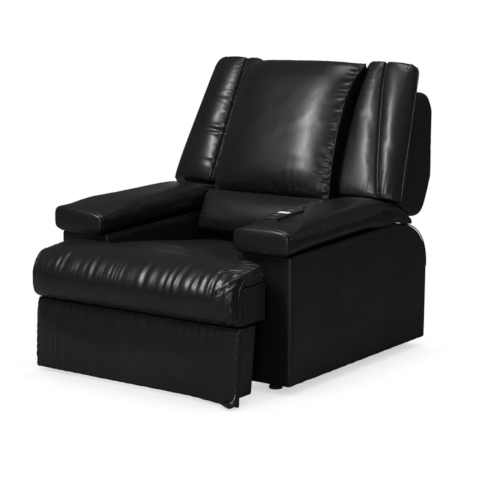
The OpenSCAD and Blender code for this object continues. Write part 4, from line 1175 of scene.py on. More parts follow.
@dataclass
class ArmPad(Piece):
    """A thick arm pad: a boxed front panel, a crowned body and a tail tucked by the back."""

    side: Side = Side.RIGHT
    arm: ArmBox = field(default_factory=ArmBox)
    middle: float = 379.0
    half: float = 111.0
    front: float = -30.0
    length: float = 775.0
    thick: float = 92.0
    tip: float = 22.0
    tip_start: float = 0.74
    tip_power: float = 1.4
    power: float = 3.1
    squarer: float = 1.0
    tail_square: float = 5.0
    tail_start: float = 480.0
    tail_gap: float = 2.6
    front_gap: float = 0.6
    front_thick_share: float = 0.93
    nose_share: float = 0.90
    nose: float = 14.0
    dome: float = 6.5
    slumps: tuple = (1.5, 9.0)
    slump_end: float = 520.0
    boxing: float = 17.0
    boxing_line: SeamLine = SeamLine(2.6, 2.6)
    puckers: Gather = Gather(1.0, 17.0, 26.0, 0)
    pucker_heights: tuple = (0.3, 1.4, 2.4)
    tail_folds: Gather = Gather(1.2, 26.0, 60.0, 11)
    slack: Slack = Slack(0.7, 95.0, 60.0, 21)
    stuffing: Stuffing = Stuffing(2.5, 0.004, 0.008)
    pipe: float = 1.8
    pipe_out: float = 1.2
    rings: int = 120
    around: int = 104
    cap_shares: tuple = (0.12, 0.3, 0.48, 0.64, 0.78, 0.9)

    def runs(self) -> Grid:
        """Returns the rings' places along the pad, closer together at its front."""
        near = np.array([0.0, 2.0, 5.0, 9.0, 13.0, 15.5, 17.0, 18.5, 21.0, 25.0])
        return np.concatenate([near, np.linspace(30.0, self.length, self.rings - len(near))])

    def ring(self, run: Grid, shrink: Grid, out: Grid) -> Grid:
        """Returns sections: superellipses on the arm's top whose height falls to the tail.

        Args:
            run: Place of each section along the pad.
            shrink: Its size as a share of the full section.
            out: How far it stands in front of its place.

        Returns:
            Sections by points by 3, in drawing mm.
        """
        turn = np.linspace(0.0, 2.0 * np.pi, self.around, endpoint=False)[None]
        y = run + self.front
        share = np.clip((run / self.length - self.tip_start) / (1.0 - self.tip_start), 0.0, 1.0)
        thick = mix(self.thick, self.tip, share**self.tip_power)
        thick = thick * mix(self.front_thick_share, 1.0, smooth(run / 180.0))
        gap = np.where(y > self.arm.round_start, self.tail_gap, self.front_gap)
        rest = self.arm.top(np.maximum(y, 0.0)) + gap
        round_nose = np.sqrt(np.clip(1.0 - (1.0 - np.clip(run / self.nose, 0.0, 1.0)) ** 2, 0.0, 1.0))
        size = (shrink * mix(self.nose_share, 1.0, round_nose))[:, None]
        c, s = np.cos(turn), np.sin(turn)
        power = mix(self.power + self.squarer, self.power, smooth(run / 240.0))[:, None]
        power = power + self.tail_square * smooth((run - self.tail_start) / 150.0)[:, None] * (s < 0.0)
        x = np.sign(c) * np.abs(c) ** (2.0 / power)
        z = np.sign(s) * np.abs(s) ** (2.0 / power)
        half = (self.half - 4.0) * size
        high = thick[:, None] / 2.0
        tall = 0.97 * high * size
        crown = 2.5 * size * np.clip(z, 0.0, 1.0) * (1.0 - x**2)
        level = np.broadcast_to((y - out)[:, None], (len(run), self.around))
        slump = (self.slumps[0] + self.slumps[1] * np.clip(z, 0.0, 1.0)) * x
        slump = slump * (1.0 - smooth(run / self.slump_end))[:, None] * shrink[:, None]
        slump = slump if self.side is Side.LEFT else 0.0
        high_at = (rest + thick / 2.0)[:, None] + tall * z + crown + slump
        return np.stack([self.middle + half * x, level, high_at], axis=-1)

    def build(self) -> list[Fill]:
        """Makes the pad as rings along the arm and fills it, with its seams held."""
        caps = np.array(self.cap_shares)
        run = np.concatenate([np.zeros(len(caps)), self.runs()])
        shrink = np.concatenate([caps, np.ones(len(self.runs()))])
        out = np.concatenate([self.dome * (1.0 - caps**2.6), np.zeros(len(self.runs()))])
        rings = row(self.ring(run, shrink, out))
        points, faces = sleeve(rings, rings[0].mean(axis=0), rings[-1].mean(axis=0))
        points = points * [self.side.value, 1.0, 1.0]
        thing = make_object(f"arm_cushion_{self.side.name.lower()}", points, faces)
        self.things["pad"] = thing
        turn = np.linspace(0.0, 2.0 * np.pi, self.around, endpoint=False)
        under = smooth((-np.sin(turn) - 0.55) / 0.25)
        hold = np.broadcast_to(under, (len(run), self.around)).copy()
        seam = bell(run - self.boxing, 2.0) * (np.arange(len(run)) >= len(caps))
        hold = np.maximum(hold, seam[:, None])
        hold[: len(caps) + 2] = 1.0
        hold[-2:] = 1.0
        return [Fill(thing, np.concatenate([hold.ravel(), [1.0, 1.0]]), self.stuffing)]

    def dress(self, shop: Shop) -> None:
        """Adds puckers behind the boxed front and at its corners, and the piping round it."""
        thing = self.things["pad"]
        caps = len(self.cap_shares)
        run = np.concatenate([np.zeros(caps), self.runs()])[:, None] + np.zeros((1, self.around))
        ring = get_points(thing.data)[:-2].reshape(-1, self.around, 3)[caps + 30] * 1000.0
        arc = np.cumsum(np.linalg.norm(np.diff(ring, axis=0, append=ring[:1]), axis=1))
        arc = np.broadcast_to(arc, run.shape)
        seed = 70 + 5 * self.side.value
        turn = np.linspace(0.0, 2.0 * np.pi, self.around, endpoint=False)[None]
        corner = bell(np.abs(np.abs(np.cos(turn)) - 0.72), 0.22) * np.clip(np.sin(turn) + 0.4, 0.0, 1.0)
        body = (run > self.boxing).astype(float)
        away = np.abs(run - self.boxing)
        outer = corner * np.clip(np.cos(turn), 0.0, 1.0) * (1.0 if self.side is Side.RIGHT else 0.0)
        everywhere, at_corners, at_outer = self.pucker_heights
        strong = everywhere + at_corners * corner + at_outer * outer
        lift = strong * self.puckers.lift(arc, away, seed) * body
        lift += self.boxing_line.lift(run - self.boxing)
        tail = np.clip(self.length - 120.0 - run, 0.0, None)
        lift += self.tail_folds.lift(arc, tail, seed) * body
        lift += self.slack.lift(run, arc, seed) * smooth(np.maximum(away - 4.0, 0.0) / 30.0) * body
        top = np.clip(np.sin(turn), 0.0, 1.0)
        fold = bell(run - 300.0 - 0.3 * (arc - 160.0), 9.0)
        lift -= 1.2 * top * fold * noise(arc / 60.0, run / 60.0, seed + 4)
        under = smooth((-np.sin(turn) - 0.6) / 0.3)
        lift *= 1.0 - under
        push(thing, np.concatenate([lift.ravel(), [0.0, 0.0]]) / 1000.0)
        node = f"arm_pad_{self.side.name.lower()}"
        shop.hand_over(thing, SOFT_LEATHER, "base", [node], levels=1)
        ring = get_points(thing.data)[:-2].reshape(-1, self.around, 3)[caps + 6]
        away = ring - ring.mean(axis=0)
        ring = ring + self.pipe_out / 1000.0 * away / np.linalg.norm(away, axis=1, keepdims=True)
        ring = np.concatenate([ring, ring[:1]])
        piping = make_object(f"arm_cushion_piping_{self.side.name.lower()}",
                             *tube(ring, self.pipe / 1000.0, (0.0, 1.0, 0.0)))
        shop.hand_over(piping, PIPING_LEATHER, "base", levels=1)


@dataclass
class SeatFront(Piece):
    """The block, the chaise roll that wraps it and the seat cushion behind."""

    half: float = 418.0
    block_rear: float = -60.0
    block_front: float = -165.0
    block_low: float = 249.0
    block_top: float = 368.0
    bulge: float = 80.0
    top_front: float = 425.0
    top_rear: float = 441.0
    low_share: float = 0.42
    low_power: float = 3.3
    end_share: float = 0.42
    end_power: float = 4.6
    arc_share: float = 0.66
    crest_share: float = 0.47
    ridges: Gather = Gather(1.9, 36.0, 58.0, 101)
    fine_ridges: Gather = Gather(0.7, 19.0, 40.0, 105)
    fine_back: float = 30.0
    end_fan: Gather = Gather(1.0, 33.0, 62.0, 110)
    fan_heights: tuple = (0.6, 2.2)
    slack: Slack = Slack(0.4, 150.0, 120.0, 120)
    end_line: SeamLine = SeamLine(1.4, 5.0)
    end_line_in: float = 20.0
    roll_stuffing: Stuffing = Stuffing(2.2, 0.003, 0.011)
    end_pipe: float = 1.7
    knot: float = 3.0
    low_pipe: float = 1.8
    corner_pipe: float = 2.4
    rows: int = 160
    cols: int = 96
    cushion_half: float = 262.0
    cushion_rear: float = 490.0
    cushion_low: float = 289.6
    cushion_rear_top: float = 376.0
    cushion_slack: Slack = Slack(0.8, 140.0, 120.0, 130)
    cushion_sides: Gather = Gather(0.8, 33.0, 50.0, 131)
    cushion_front: Gather = Gather(0.9, 30.0, 45.0, 133)
    cushion_stuffing: Stuffing = Stuffing(2.2, 0.003, 0.009)
    cushion_rows: int = 72
    cushion_cols: int = 70

    def skin(self, q: Grid, slim: float) -> Grid:
        """Returns the roll's outer profile over its share q: an arc round the front, then level.

        Args:
            q: Share of the profile from its lower edge to its rear edge.
            slim: How far the form is drawn in before it is filled.

        Returns:
            y and z in drawing mm.
        """
        middle = self.block_low + self.low_share * (self.top_front - self.block_low)
        turn = np.clip(q / self.arc_share, 0.0, 1.0) * np.pi - np.pi / 2.0
        flat = np.clip((q - self.arc_share) / (1.0 - self.arc_share), 0.0, 1.0)
        rise = np.where(turn < 0.0, middle - self.block_low, self.top_front - middle - slim)
        bend = np.where(turn < 0.0, 2.0 / self.low_power, 1.0)
        out, up = np.abs(np.cos(turn)) ** bend, np.sign(turn) * np.abs(np.sin(turn)) ** bend
        y = self.block_front - (self.bulge - slim) * out + flat * (self.block_rear - self.block_front)
        z = middle + rise * up + flat * (self.top_rear - self.top_front)
        return np.stack([y, z], axis=-1)

    def bed(self, q: Grid) -> Grid:
        """Returns the block's front and top that the roll lies on, as y and z."""
        up = np.clip(q / self.arc_share, 0.0, 1.0)
        flat = np.clip((q - self.arc_share) / (1.0 - self.arc_share), 0.0, 1.0)
        y = mix(self.block_front - 0.3, self.block_rear, flat)
        return np.stack([y, mix(self.block_low, self.block_top + 0.3, up)], axis=-1)

    def build(self) -> list[Fill]:
        """Makes the block, the roll and the cushion, and fills the two soft ones."""
        y = np.linspace(self.block_front, self.block_rear, 22)
        z = np.linspace(self.block_low, self.block_top, 26)
        outline = np.dstack(np.meshgrid(y, z))
        form = boxed(outline, -self.half, self.half, 5.0, 0.0, 40)
        self.things["block"] = make_object("front_panel_block", form.points, form.faces)
        t = spread(self.rows, 0.35)[:, None]
        q = np.linspace(0.0, 1.0, self.cols)[None]
        full = mix(self.end_share, 1.0, swell(t, self.end_power))[..., None]
        bed = np.broadcast_to(self.bed(q), (self.rows, self.cols, 2))
        face = mix(bed, self.skin(q, 6.0), full)
        x = np.broadcast_to((self.half - 3.0) * (2.0 * t - 1.0), face.shape[:2])
        front = row(np.dstack([x, face[..., 0], face[..., 1]]))
        rear = row(np.dstack([x, bed[..., 0], bed[..., 1]]))
        roll = hull(front, rear, 8, bulge=0.003)
        self.things["roll"] = make_object("chaise_cushion", roll.points, roll.faces)
        self.roll = roll
        hold = roll.spread_values(held_edge(self.rows, self.cols), 1.0)
        fills = [Fill(self.things["roll"], hold, self.roll_stuffing)]
        ct, cs = spread(self.cushion_rows, 0.4)[:, None], spread(self.cushion_cols, 0.5)[None]
        y = mix(self.block_rear + 0.3, self.cushion_rear, ct)
        drop = 26.0 * (np.maximum(0.0, ct - 0.9) / 0.1) ** 2
        crown = mix(self.top_rear, self.cushion_rear_top, ct) - 5.0 - drop
        top = crown - 34.0 * (1.0 - swell(cs, 3.0))
        x = np.broadcast_to((self.cushion_half - 3.0) * (2.0 * cs - 1.0), top.shape)
        y = np.broadcast_to(y, top.shape)
        front = row(np.dstack([x, y, top]))
        rear = row(np.dstack([x, y, np.full(top.shape, self.cushion_low + 1.0)]))
        seat = hull(front, rear, 8, bulge=0.002)
        self.things["seat"] = make_object("seat_top_cushion", seat.points, seat.faces)
        self.seat = seat
        hold = seat.spread_values(held_edge(self.cushion_rows, self.cushion_cols), 1.0)
        fills.append(Fill(self.things["seat"], hold, self.cushion_stuffing))
        return fills

    def dress(self, shop: Shop) -> None:
        """Adds the roll's front ridges, its corner puckers and its piped edges."""
        shop.hand_over(self.things["block"], PANEL_LEATHER, "seat", ["front_block"], levels=1)
        thing = self.things["roll"]
        grid = self.roll.face(get_points(thing.data)) * 1000.0
        x = grid[..., 0]
        run = np.concatenate([np.zeros((self.rows, 1)),
                              np.cumsum(np.linalg.norm(np.diff(grid, axis=1), axis=2), axis=1)], axis=1)
        crest = run[:, int(self.crest_share * self.cols)][:, None]
        lift = self.ridges.lift(x + 7.0 * noise(run / 90.0, x / 260.0, 3), np.abs(run - crest))
        lift += self.fine_ridges.lift(x, np.abs(run - crest + self.fine_back))
        end = self.half - np.abs(x)
        fan = self.end_fan.lift(run + 0.6 * end, end)
        left, right = self.fan_heights
        lift += fan * np.where(x > 0.0, right, left) * mix(0.5, 1.0, smooth(run / run.max() * 2.0))
        lift += self.slack.lift(x, run) * smooth(end / 40.0)
        lift += self.end_line.lift(end - self.end_line_in) * smooth(run / 30.0) * (x > 0.0)
        edge = smooth(end / 8.0)
        push(thing, self.roll.spread_values(lift * edge) / 1000.0)
        shop.hand_over(thing, SOFT_LEATHER, "seat", ["chaise_roll"], levels=1)
        face = self.roll.face(get_points(thing.data))
        ends = []
        for side in (0, -1):
            out = math.copysign(0.0015, face[side, 0, 0])
            path = resample(face[side, 3:-2], 150) + np.array([out, 0.0, 0.0])
            knots = noise(np.linspace(0.0, 34.0, 150), np.zeros(150), 140 + side)
            ends.append(tube(path, (self.end_pipe + self.knot * knots**2) / 1000.0, (1.0, 0.0, 0.0)))
        low = np.column_stack([np.linspace(-self.half + 4.0, self.half - 4.0, 160),
                               np.full(160, self.block_front - 5.0), np.full(160, self.block_low + 0.8)])
        ends.append(tube(row(low), self.low_pipe / 1000.0, (0.0, 1.0, 0.0)))
        for side in (-1.0, 1.0):
            x = side * (self.half + 0.5)
            corner = np.array([[x, self.block_rear - 3.0, self.block_low + 2.0],
                               [x, self.block_rear - 3.0, self.block_top - 2.0],
                               [x, self.block_front + 3.0, self.block_top - 2.0],
                               [x, self.block_front + 3.0, self.block_low + 3.0]])
            ends.append(tube(row(resample(corner, 60)), self.corner_pipe / 1000.0, (1.0, 0.0, 0.0)))
        piping = make_object("seat_piping", *join_parts(ends))
        shop.hand_over(piping, PIPING_LEATHER, "seat", levels=1)
        thing = self.things["seat"]
        grid = self.seat.face(get_points(thing.data)) * 1000.0
        x, y = grid[..., 0], grid[..., 1]
        end = self.cushion_half - np.abs(x)
        lift = self.cushion_slack.lift(x, y) + self.cushion_sides.lift(y, end)
        lift += self.cushion_front.lift(x, np.abs(y - y[0, 0]))
        push(thing, self.seat.spread_values(lift * smooth(end / 12.0)) / 1000.0)
        shop.hand_over(thing, SOFT_LEATHER, "seat", ["seat_cushion"], levels=1)


@dataclass
class Footrest(Piece):
    """The footrest's padded face with its hem, over a leather-covered board with cheeks."""

    half: float = 418.0
    low: float = 30.0
    top: float = 243.0
    hem: float = 12.0
    front_top: float = -168.0
    front_low: float = -186.0
    board: float = 12.0
    cheek: float = 15.0
    cheek_top: float = -100.0
    cheek_low: float = -125.0
    pad_top: float = 40.0
    pad_hem: float = 28.0
    pad_over: float = 2.2
    edge_share: float = 0.42
    hem_sag: float = 9.0
    hem_curl: float = 5.0
    seam: float = -326.0
    seam_line: SeamLine = SeamLine(2.0, 3.0, 0.8, 9.0, 5.0)
    hem_line: SeamLine = SeamLine(1.0, 4.0)
    hem_line_up: float = 14.0
    top_folds: Gather = Gather(0.9, 33.0, 95.0, 201)
    hem_folds: Gather = Gather(0.5, 46.0, 75.0, 203)
    end_folds: Gather = Gather(0.9, 31.0, 34.0, 207)
    slack: Slack = Slack(0.7, 80.0, 190.0, 205)
    stuffing: Stuffing = Stuffing(1.6, 0.002, 0.008)
    pipe: float = 1.6
    knot_at: tuple = ((366, 3, 11), (386, -4, 12), (404, -9, 14), (415, -7, 21), (418, 1, 31), (417, 7, 48))
    knot_shares: tuple = (0.0, 0.3, 0.55, 0.8, 1.0)
    knot_radii: tuple = (3.0, 7.5, 11.5, 8.0, 2.5)
    rows: int = 150
    cols: int = 60

    def plane(self, z: Grid) -> Grid:
        """Returns the board's front plane at a height: it leans from its foot to its top."""
        return mix(self.front_low, self.front_top, (z - self.low) / (self.top - self.low))

    def build(self) -> list[Fill]:
        """Makes the board with its cheeks, and the pad, which is filled."""
        z = np.linspace(self.low, self.top - 0.3, 34)[:, None]
        u = np.linspace(0.0, 1.0, 8)[None]
        y = self.plane(z) + self.board * u
        board = boxed(np.dstack([y, z + 0.0 * u]), -self.half, self.half, 3.0, 0.0, 60)
        parts = [(board.points, board.faces)]
        rear = mix(self.cheek_low, self.cheek_top, (z - self.low) / (self.top - self.low))
        u = np.linspace(0.0, 1.0, 14)[None]
        outline = np.dstack([mix(self.plane(z) + 2.0, rear, u), z + 0.0 * u])
        for side in (-1.0, 1.0):
            cheek = boxed(outline, self.half - self.cheek, self.half, 4.0, 0.6, 5)
            faces = cheek.faces if side > 0.0 else [f[::-1] for f in cheek.faces]
            parts.append((cheek.points * [side, 1.0, 1.0], faces))
        self.things["board"] = make_object("footrest_board_cover", *join_parts(parts))
        t = spread(self.rows, 0.35)[:, None]
        s = spread(self.cols, 0.35)[None]
        z = mix(self.hem, self.top + self.pad_over, s)
        side = np.where(t < 0.5, swell(t, 5.0), swell(t, 3.4))
        full = mix(self.edge_share, 1.0, side * np.where(s < 0.5, swell(s, 3.4), swell(s, 2.1)))
        y = self.plane(z) - 0.3 - (mix(self.pad_hem, self.pad_top, s) - 6.0) * full
        x = (self.half - 3.0) * (2.0 * t - 1.0) + 0.0 * s
        z = z - self.hem_sag * smooth((x - 215.0) / 190.0) * (1.0 - s) ** 3
        y = y - self.hem_curl * bell(z - self.low, 20.0) * smooth((x - 330.0) / 60.0)
        front = row(np.dstack([x, y, z]))
        rear = row(np.dstack([x, self.plane(z) - 0.3, z]))
        pad = hull(front, rear, 6, bulge=0.002)
        self.pad = pad
        self.things["pad"] = make_object("footrest_cushion", pad.points, pad.faces)
        hold = pad.spread_values(held_edge(self.rows, self.cols), 1.0)
        return [Fill(self.things["pad"], hold, self.stuffing)]

    def dress(self, shop: Shop) -> None:
        """Adds the upright seam, the hanging wrinkles, and the hem's roll and piping."""
        shop.hand_over(self.things["board"], PANEL_LEATHER, "footrest", ["rest_board"], levels=1)
        thing = self.things["pad"]
        grid = self.pad.face(get_points(thing.data)) * 1000.0
        x, z = grid[..., 0], grid[..., 2]
        end = self.half - np.abs(x)
        lift = self.top_folds.lift(x, self.top - z) + self.hem_folds.lift(x, z - self.hem)
        lift += self.slack.lift(x, z) + self.end_folds.lift(z, end)
        lift += self.seam_line.lift(x - self.seam)
        lift += self.hem_line.lift(z - self.low - self.hem_line_up)
        push(thing, self.pad.spread_values(lift * smooth(end / 8.0)) / 1000.0)
        shop.hand_over(thing, SOFT_LEATHER, "footrest", ["rest_pad"], levels=1)
        face = self.pad.face(get_points(thing.data))
        paths = [face[1:-1, 1], face[1:-1, -2], face[1, 2:-2], face[-2, 2:-2]]
        up = [(0.0, 1.0, 0.0), (0.0, 1.0, 0.0), (1.0, 0.0, 0.0), (1.0, 0.0, 0.0)]
        tubes = [tube(p + [0.0, -0.001, 0.0], self.pipe / 1000.0, u) for p, u in zip(paths, up)]
        front = float(self.plane(np.array(self.hem))) - self.pad_hem
        knot = resample(np.array(self.knot_at) + [0.0, front, 0.0], 40)
        girth = np.interp(np.linspace(0.0, 1.0, 40), self.knot_shares, self.knot_radii)
        tubes.append(tube(row(knot), girth / 1000.0, (0.3, 1.0, 0.2), 14))
        piping = make_object("footrest_piping", *join_parts(tubes))
        shop.hand_over(piping, PIPING_LEATHER, "footrest", levels=1)


@dataclass
class BackShell(Piece):
    """The outer back: a leather-covered tub, open at its raked front edge, with piping."""

    half: float = 433.0
    behind: float = 389.0
    rise: float = 604.0
    corner_shares: tuple = ((0.329, 0.3725), (0.648, 1.0), (0.90, 1.0), (1.0, 0.90), (1.0, 0.487),
                            (0.8, 0.22))
    corner_soft: float = 0.46
    radius: float = 16.0
    puff: float = 2.0
    thick: float = 0.010
    seam_in: float = 24.0
    seam_line: SeamLine = SeamLine(2.2, 3.5)
    seam_pull: Gather = Gather(0.4, 40.0, 34.0, 305)
    slack: Slack = Slack(0.8, 130.0, 140.0, 301)
    side_pipe: float = 6.2
    side_pipe_in: float = 7.0
    top_pipe: float = 3.0
    board_low: float = 18.0
    board_high: float = 640.0
    board_front: float = -22.0
    board_rear: float = -6.0
    step: float = 254.0
    narrow: float = 228.0
    wide: float = 420.4
    rows: int = 60
    cols: int = 44
    rim: int = 44

    def corners(self) -> Grid:
        """Returns the outline's corners as y and z, from the front's foot round its top."""
        return np.array(BACK_PIVOT) + np.array(self.corner_shares) * [self.behind, self.rise]

    def build(self) -> list[Fill]:
        """Makes the tub from a Coons patch of its side, and leaves its front edge open."""
        a, b, c, d, e, f = self.corners()

        def eased(*points: Grid) -> Grid:
            """Returns a path whose inner corners are cut by a share of their sides."""
            out = [points[0]]
            for before, corner, after in zip(points[:-2], points[1:-1], points[2:]):
                share = np.linspace(0.0, 1.0, 9)[:, None]
                start, stop = mix(corner, before, self.corner_soft), mix(corner, after, self.corner_soft)
                out += list(mix(mix(start, corner, share), mix(corner, stop, share), share))
            return np.array([*out, points[-1]])

        low, high = mix(e, d, 0.12), mix(d, e, 0.12)
        under = resample(eased(a, f, e, low), self.cols)
        share = np.linspace(0.0, 1.0, 13)[:, None]
        nose = mix(mix(mix(b, a, 0.07), b, share), mix(b, mix(b, c, 0.22), share), share)
        over = resample(np.concatenate([nose[6:], eased(mix(b, c, 0.25), c, d, high)]), self.cols)
        front = resample(np.concatenate([[a], nose[:7]]), self.rows)
        outline = coons(under, over, front, resample(np.array([low, high]), self.rows))
        form = boxed(outline, -self.half, self.half, self.radius, self.puff, self.rim, skip="left")
        self.things["shell"] = make_object("back_outer_panels", form.points, form.faces)
        u = np.concatenate([np.linspace(self.board_low, self.step - 0.5, 12),
                            np.linspace(self.step + 0.5, self.board_high, 24)])[:, None]
        wide = np.where(u < self.step, self.narrow, self.wide)
        x = wide * np.linspace(-1.0, 1.0, 40)[None]
        board = hull(on_back(x, self.board_front, u), on_back(x, self.board_rear, u), 6)
        self.things["board"] = make_object("back_board_cover", board.points, board.faces)
        return []

    def dress(self, shop: Shop) -> None:
        """Adds slack waves and edge tension, gives the panels a thickness, and pipes the edge."""
        thing = self.things["shell"]
        at = get_points(thing.data) * 1000.0
        x, y, z = at[:, 0], at[:, 1] + 1000.0 * FRAME_SHIFT, at[:, 2]
        lift = self.slack.lift(z, x + y) - 1.0
        away = self.half - np.abs(x) - self.seam_in
        lift += self.seam_line.lift(away)
        lift += self.seam_pull.lift(z, np.abs(away))
        push(thing, lift / 1000.0)
        wall = thing.modifiers.new("wall", "SOLIDIFY")
        wall.thickness = self.thick
        wall.offset = -1.0
        shop.hand_over(thing, PANEL_LEATHER, "back", ["back_shell"], levels=1)
        shop.hand_over(self.things["board"], PANEL_LEATHER, "back", ["back_board"])
        a, b, *_ = self.corners()
        tubes = []
        for side in (-1.0, 1.0):
            run = resample(np.array([a + [4.0, -2.0], mix(a, b, 0.965) + [4.0, -2.0]]), 60)
            path = row(np.column_stack([np.full(60, side * (self.half - self.side_pipe_in)), run]))
            tubes.append(tube(path, self.side_pipe / 1000.0, (side, 0.0, 0.0), 16))
        foot = mix(a, b, 0.985) + [6.0, -2.0]
        top = resample(np.array([[-self.half + 8.0, *foot], [self.half - 8.0, *foot]]), 90)
        tubes.append(tube(row(top), self.top_pipe / 1000.0, (0.0, 1.0, 0.0)))
        piping = make_object("back_piping", *join_parts(tubes))
        shop.hand_over(piping, PIPING_LEATHER, "back", levels=1)


@dataclass
class Wing(Piece):
    """A wing of the back: two sewn channels, wider at the foot than at the top."""

    side: Side = Side.RIGHT
    low: float = 243.0
    high: float = 758.0
    foot: float = 486.0
    top: float = 430.0
    inner: float = 246.0
    face: float = 90.0
    tuck: float = 26.0
    seam: float = 0.55
    seam_foot: tuple = (0.28, 0.69)
    seam_top: tuple = (0.30, 0.36)
    drop: float = 17.0
    lean: tuple = (10.0, 30.0)
    puff: tuple = (30.0, 24.0)
    spare: tuple = (8.0, -3.0)
    clear: tuple = (11.0, 2.0)
    low_share: tuple = (0.5, 0.7)
    ahead: tuple = (6.0, 2.0)
    edge_share: float = 0.7
    inner_reach: float = 16.0
    corner: float = 34.0
    corner_run: float = 42.0
    board: float = -22.3
    board_half: float = 420.7
    rear_reach: float = 26.0
    seam_line: SeamLine = SeamLine(4.0, 3.0)
    seam_puckers: Gather = Gather(0.45, 19.0, 24.0, 0)
    creases: Gather = Gather(1.0, 34.0, 46.0, 3)
    crease_heights: tuple = (4.2, 0.3)
    crease_at: float = 470.0
    crease_spread: float = 130.0
    inner_folds: Gather = Gather(0.3, 31.0, 46.0, 4)
    outer_folds: Gather = Gather(0.4, 36.0, 26.0, 5)
    foot_folds: Gather = Gather(0.6, 23.0, 50.0, 7)
    slack: Slack = Slack(0.4, 150.0, 80.0, 9)
    stuffing: Stuffing = Stuffing(2.0, 0.002, 0.010)
    pipe: float = 1.8
    rows: int = 98
    cols: int = 61

    def rear_edge(self, u: Grid) -> Grid:
        """Returns how far back the wing's outer edge sits: on the shell's raked front edge."""
        shell = BackShell()
        a, b = shell.corners()[:2] - np.array(BACK_PIVOT)
        up = [p[0] * math.sin(RAKE) + p[1] * math.cos(RAKE) for p in (a, b)]
        back = [p[0] * math.cos(RAKE) - p[1] * math.sin(RAKE) for p in (a, b)]
        at = mix(back[0], back[1], np.clip((u - up[0]) / (up[1] - up[0]), 0.0, 1.0))
        return np.minimum(at - 3.0, self.board)

    def build(self) -> list[Fill]:
        """Makes the channels and fills them, with the seams held."""
        t = spread(self.rows, 0.45)[:, None]
        even = np.linspace(0.0, 1.0, self.cols)[None]
        which = 0 if self.side is Side.LEFT else 1
        u = mix(self.low + self.clear[which], self.high - 3.0, t)
        ends = mix(np.where(t < 0.5, self.low_share[which], self.edge_share), 1.0, swell(t, 3.2))
        inside = np.clip(even / self.seam, 0.0, 1.0)
        outside = np.clip((even - self.seam) / (1.0 - self.seam), 0.0, 1.0)
        at_seam = mix(self.seam_foot[which], self.seam_top[which], t)
        s = np.where(even < self.seam, at_seam * inside, at_seam + (1.0 - at_seam) * outside)
        inner_fall = mix(0.3 * self.drop, self.drop, inside) * (1.0 - swell(inside, 2.0))
        outer_fall = self.drop + self.lean[which] * outside - self.puff[which] * swell(outside, 2.0)
        fall = np.where(even < self.seam, inner_fall, outer_fall)
        grids = []
        for front in (True, False):
            into = np.clip((u - self.high) / self.corner_run + 1.0, 0.0, 1.0)
            corner = self.corner * (1.0 - np.sqrt(1.0 - into**2))
            outer = mix(self.foot, self.top, t) + self.spare[which] - corner
            outer = outer - (0.0 if front else self.tuck) * t**2
            middle = np.clip(1.0 - np.abs(2.0 * t - 1.0) ** 8, 0.0, 1.0)
            x = mix(self.inner + 1.0 - (self.inner_reach * middle if front else 0.0), outer, s)
            flat = np.full(x.shape, self.board)
            seat = np.where(x > self.board_half - self.rear_reach, self.rear_edge(u), flat)
            face = mix(seat, -self.face - self.ahead[which] + 2.0 + fall, ends)
            grids.append(on_back(x, face if front else seat, u))
        form = hull(grids[0], grids[1], 8, bulge=0.004)
        points = form.points * [self.side.value, 1.0, 1.0]
        thing = make_object(f"wing_cushion_{self.side.name.lower()}", points, form.faces)
        self.things["wing"] = thing
        self.form = form
        self.up = np.broadcast_to(u, (self.rows, self.cols))
        hold = np.maximum(held_edge(self.rows, self.cols), bell(even - self.seam, 0.012))
        hold[:3] = 1.0
        return [Fill(thing, form.spread_values(hold, 1.0), self.stuffing)]

    def dress(self, shop: Shop) -> None:
        """Sinks the channel seam and puckers the leather beside it and beside the pillow."""
        thing = self.things["wing"]
        grid = self.form.face(get_points(thing.data)) * 1000.0
        across = np.abs(grid[..., 0])
        seam_at = across[:, int(round(self.seam * (self.cols - 1)))][:, None]
        away, inner, outer = np.abs(across - seam_at), across - across[:, :1], across[:, -1:] - across
        seed = 400 + 20 * self.side.value
        lift = self.seam_line.lift(away) + self.seam_puckers.lift(self.up, away, seed)
        strong = self.crease_heights[0 if self.side is Side.LEFT else 1]
        near = bell(self.up - self.crease_at, self.crease_spread)
        lift += strong * self.creases.lift(self.up, away, seed) * near
        lift += self.inner_folds.lift(self.up, inner, seed) + self.outer_folds.lift(self.up, outer, seed)
        lift += self.foot_folds.lift(across, self.up - self.low, seed)
        lift += self.slack.lift(self.up, across, seed)
        push(thing, self.form.spread_values(lift * smooth(np.minimum(inner, outer) / 8.0)) / 1000.0)
        node = f"wing_{self.side.name.lower()}"
        shop.hand_over(thing, SOFT_LEATHER, "back", [node], levels=1)
        face = self.form.face(get_points(thing.data))
        out = self.side.value
        tubes = [tube(face[2:-2, -1] + [0.001 * out, 0.0, 0.0], self.pipe / 1000.0, (out, 0.0, 0.0)),
                 tube(face[-1, 1:-1], self.pipe / 1000.0, (0.0, 0.4, 1.0))]
        piping = make_object(f"wing_piping_{self.side.name.lower()}", *join_parts(tubes))
        shop.hand_over(piping, PIPING_LEATHER, "back", levels=1)


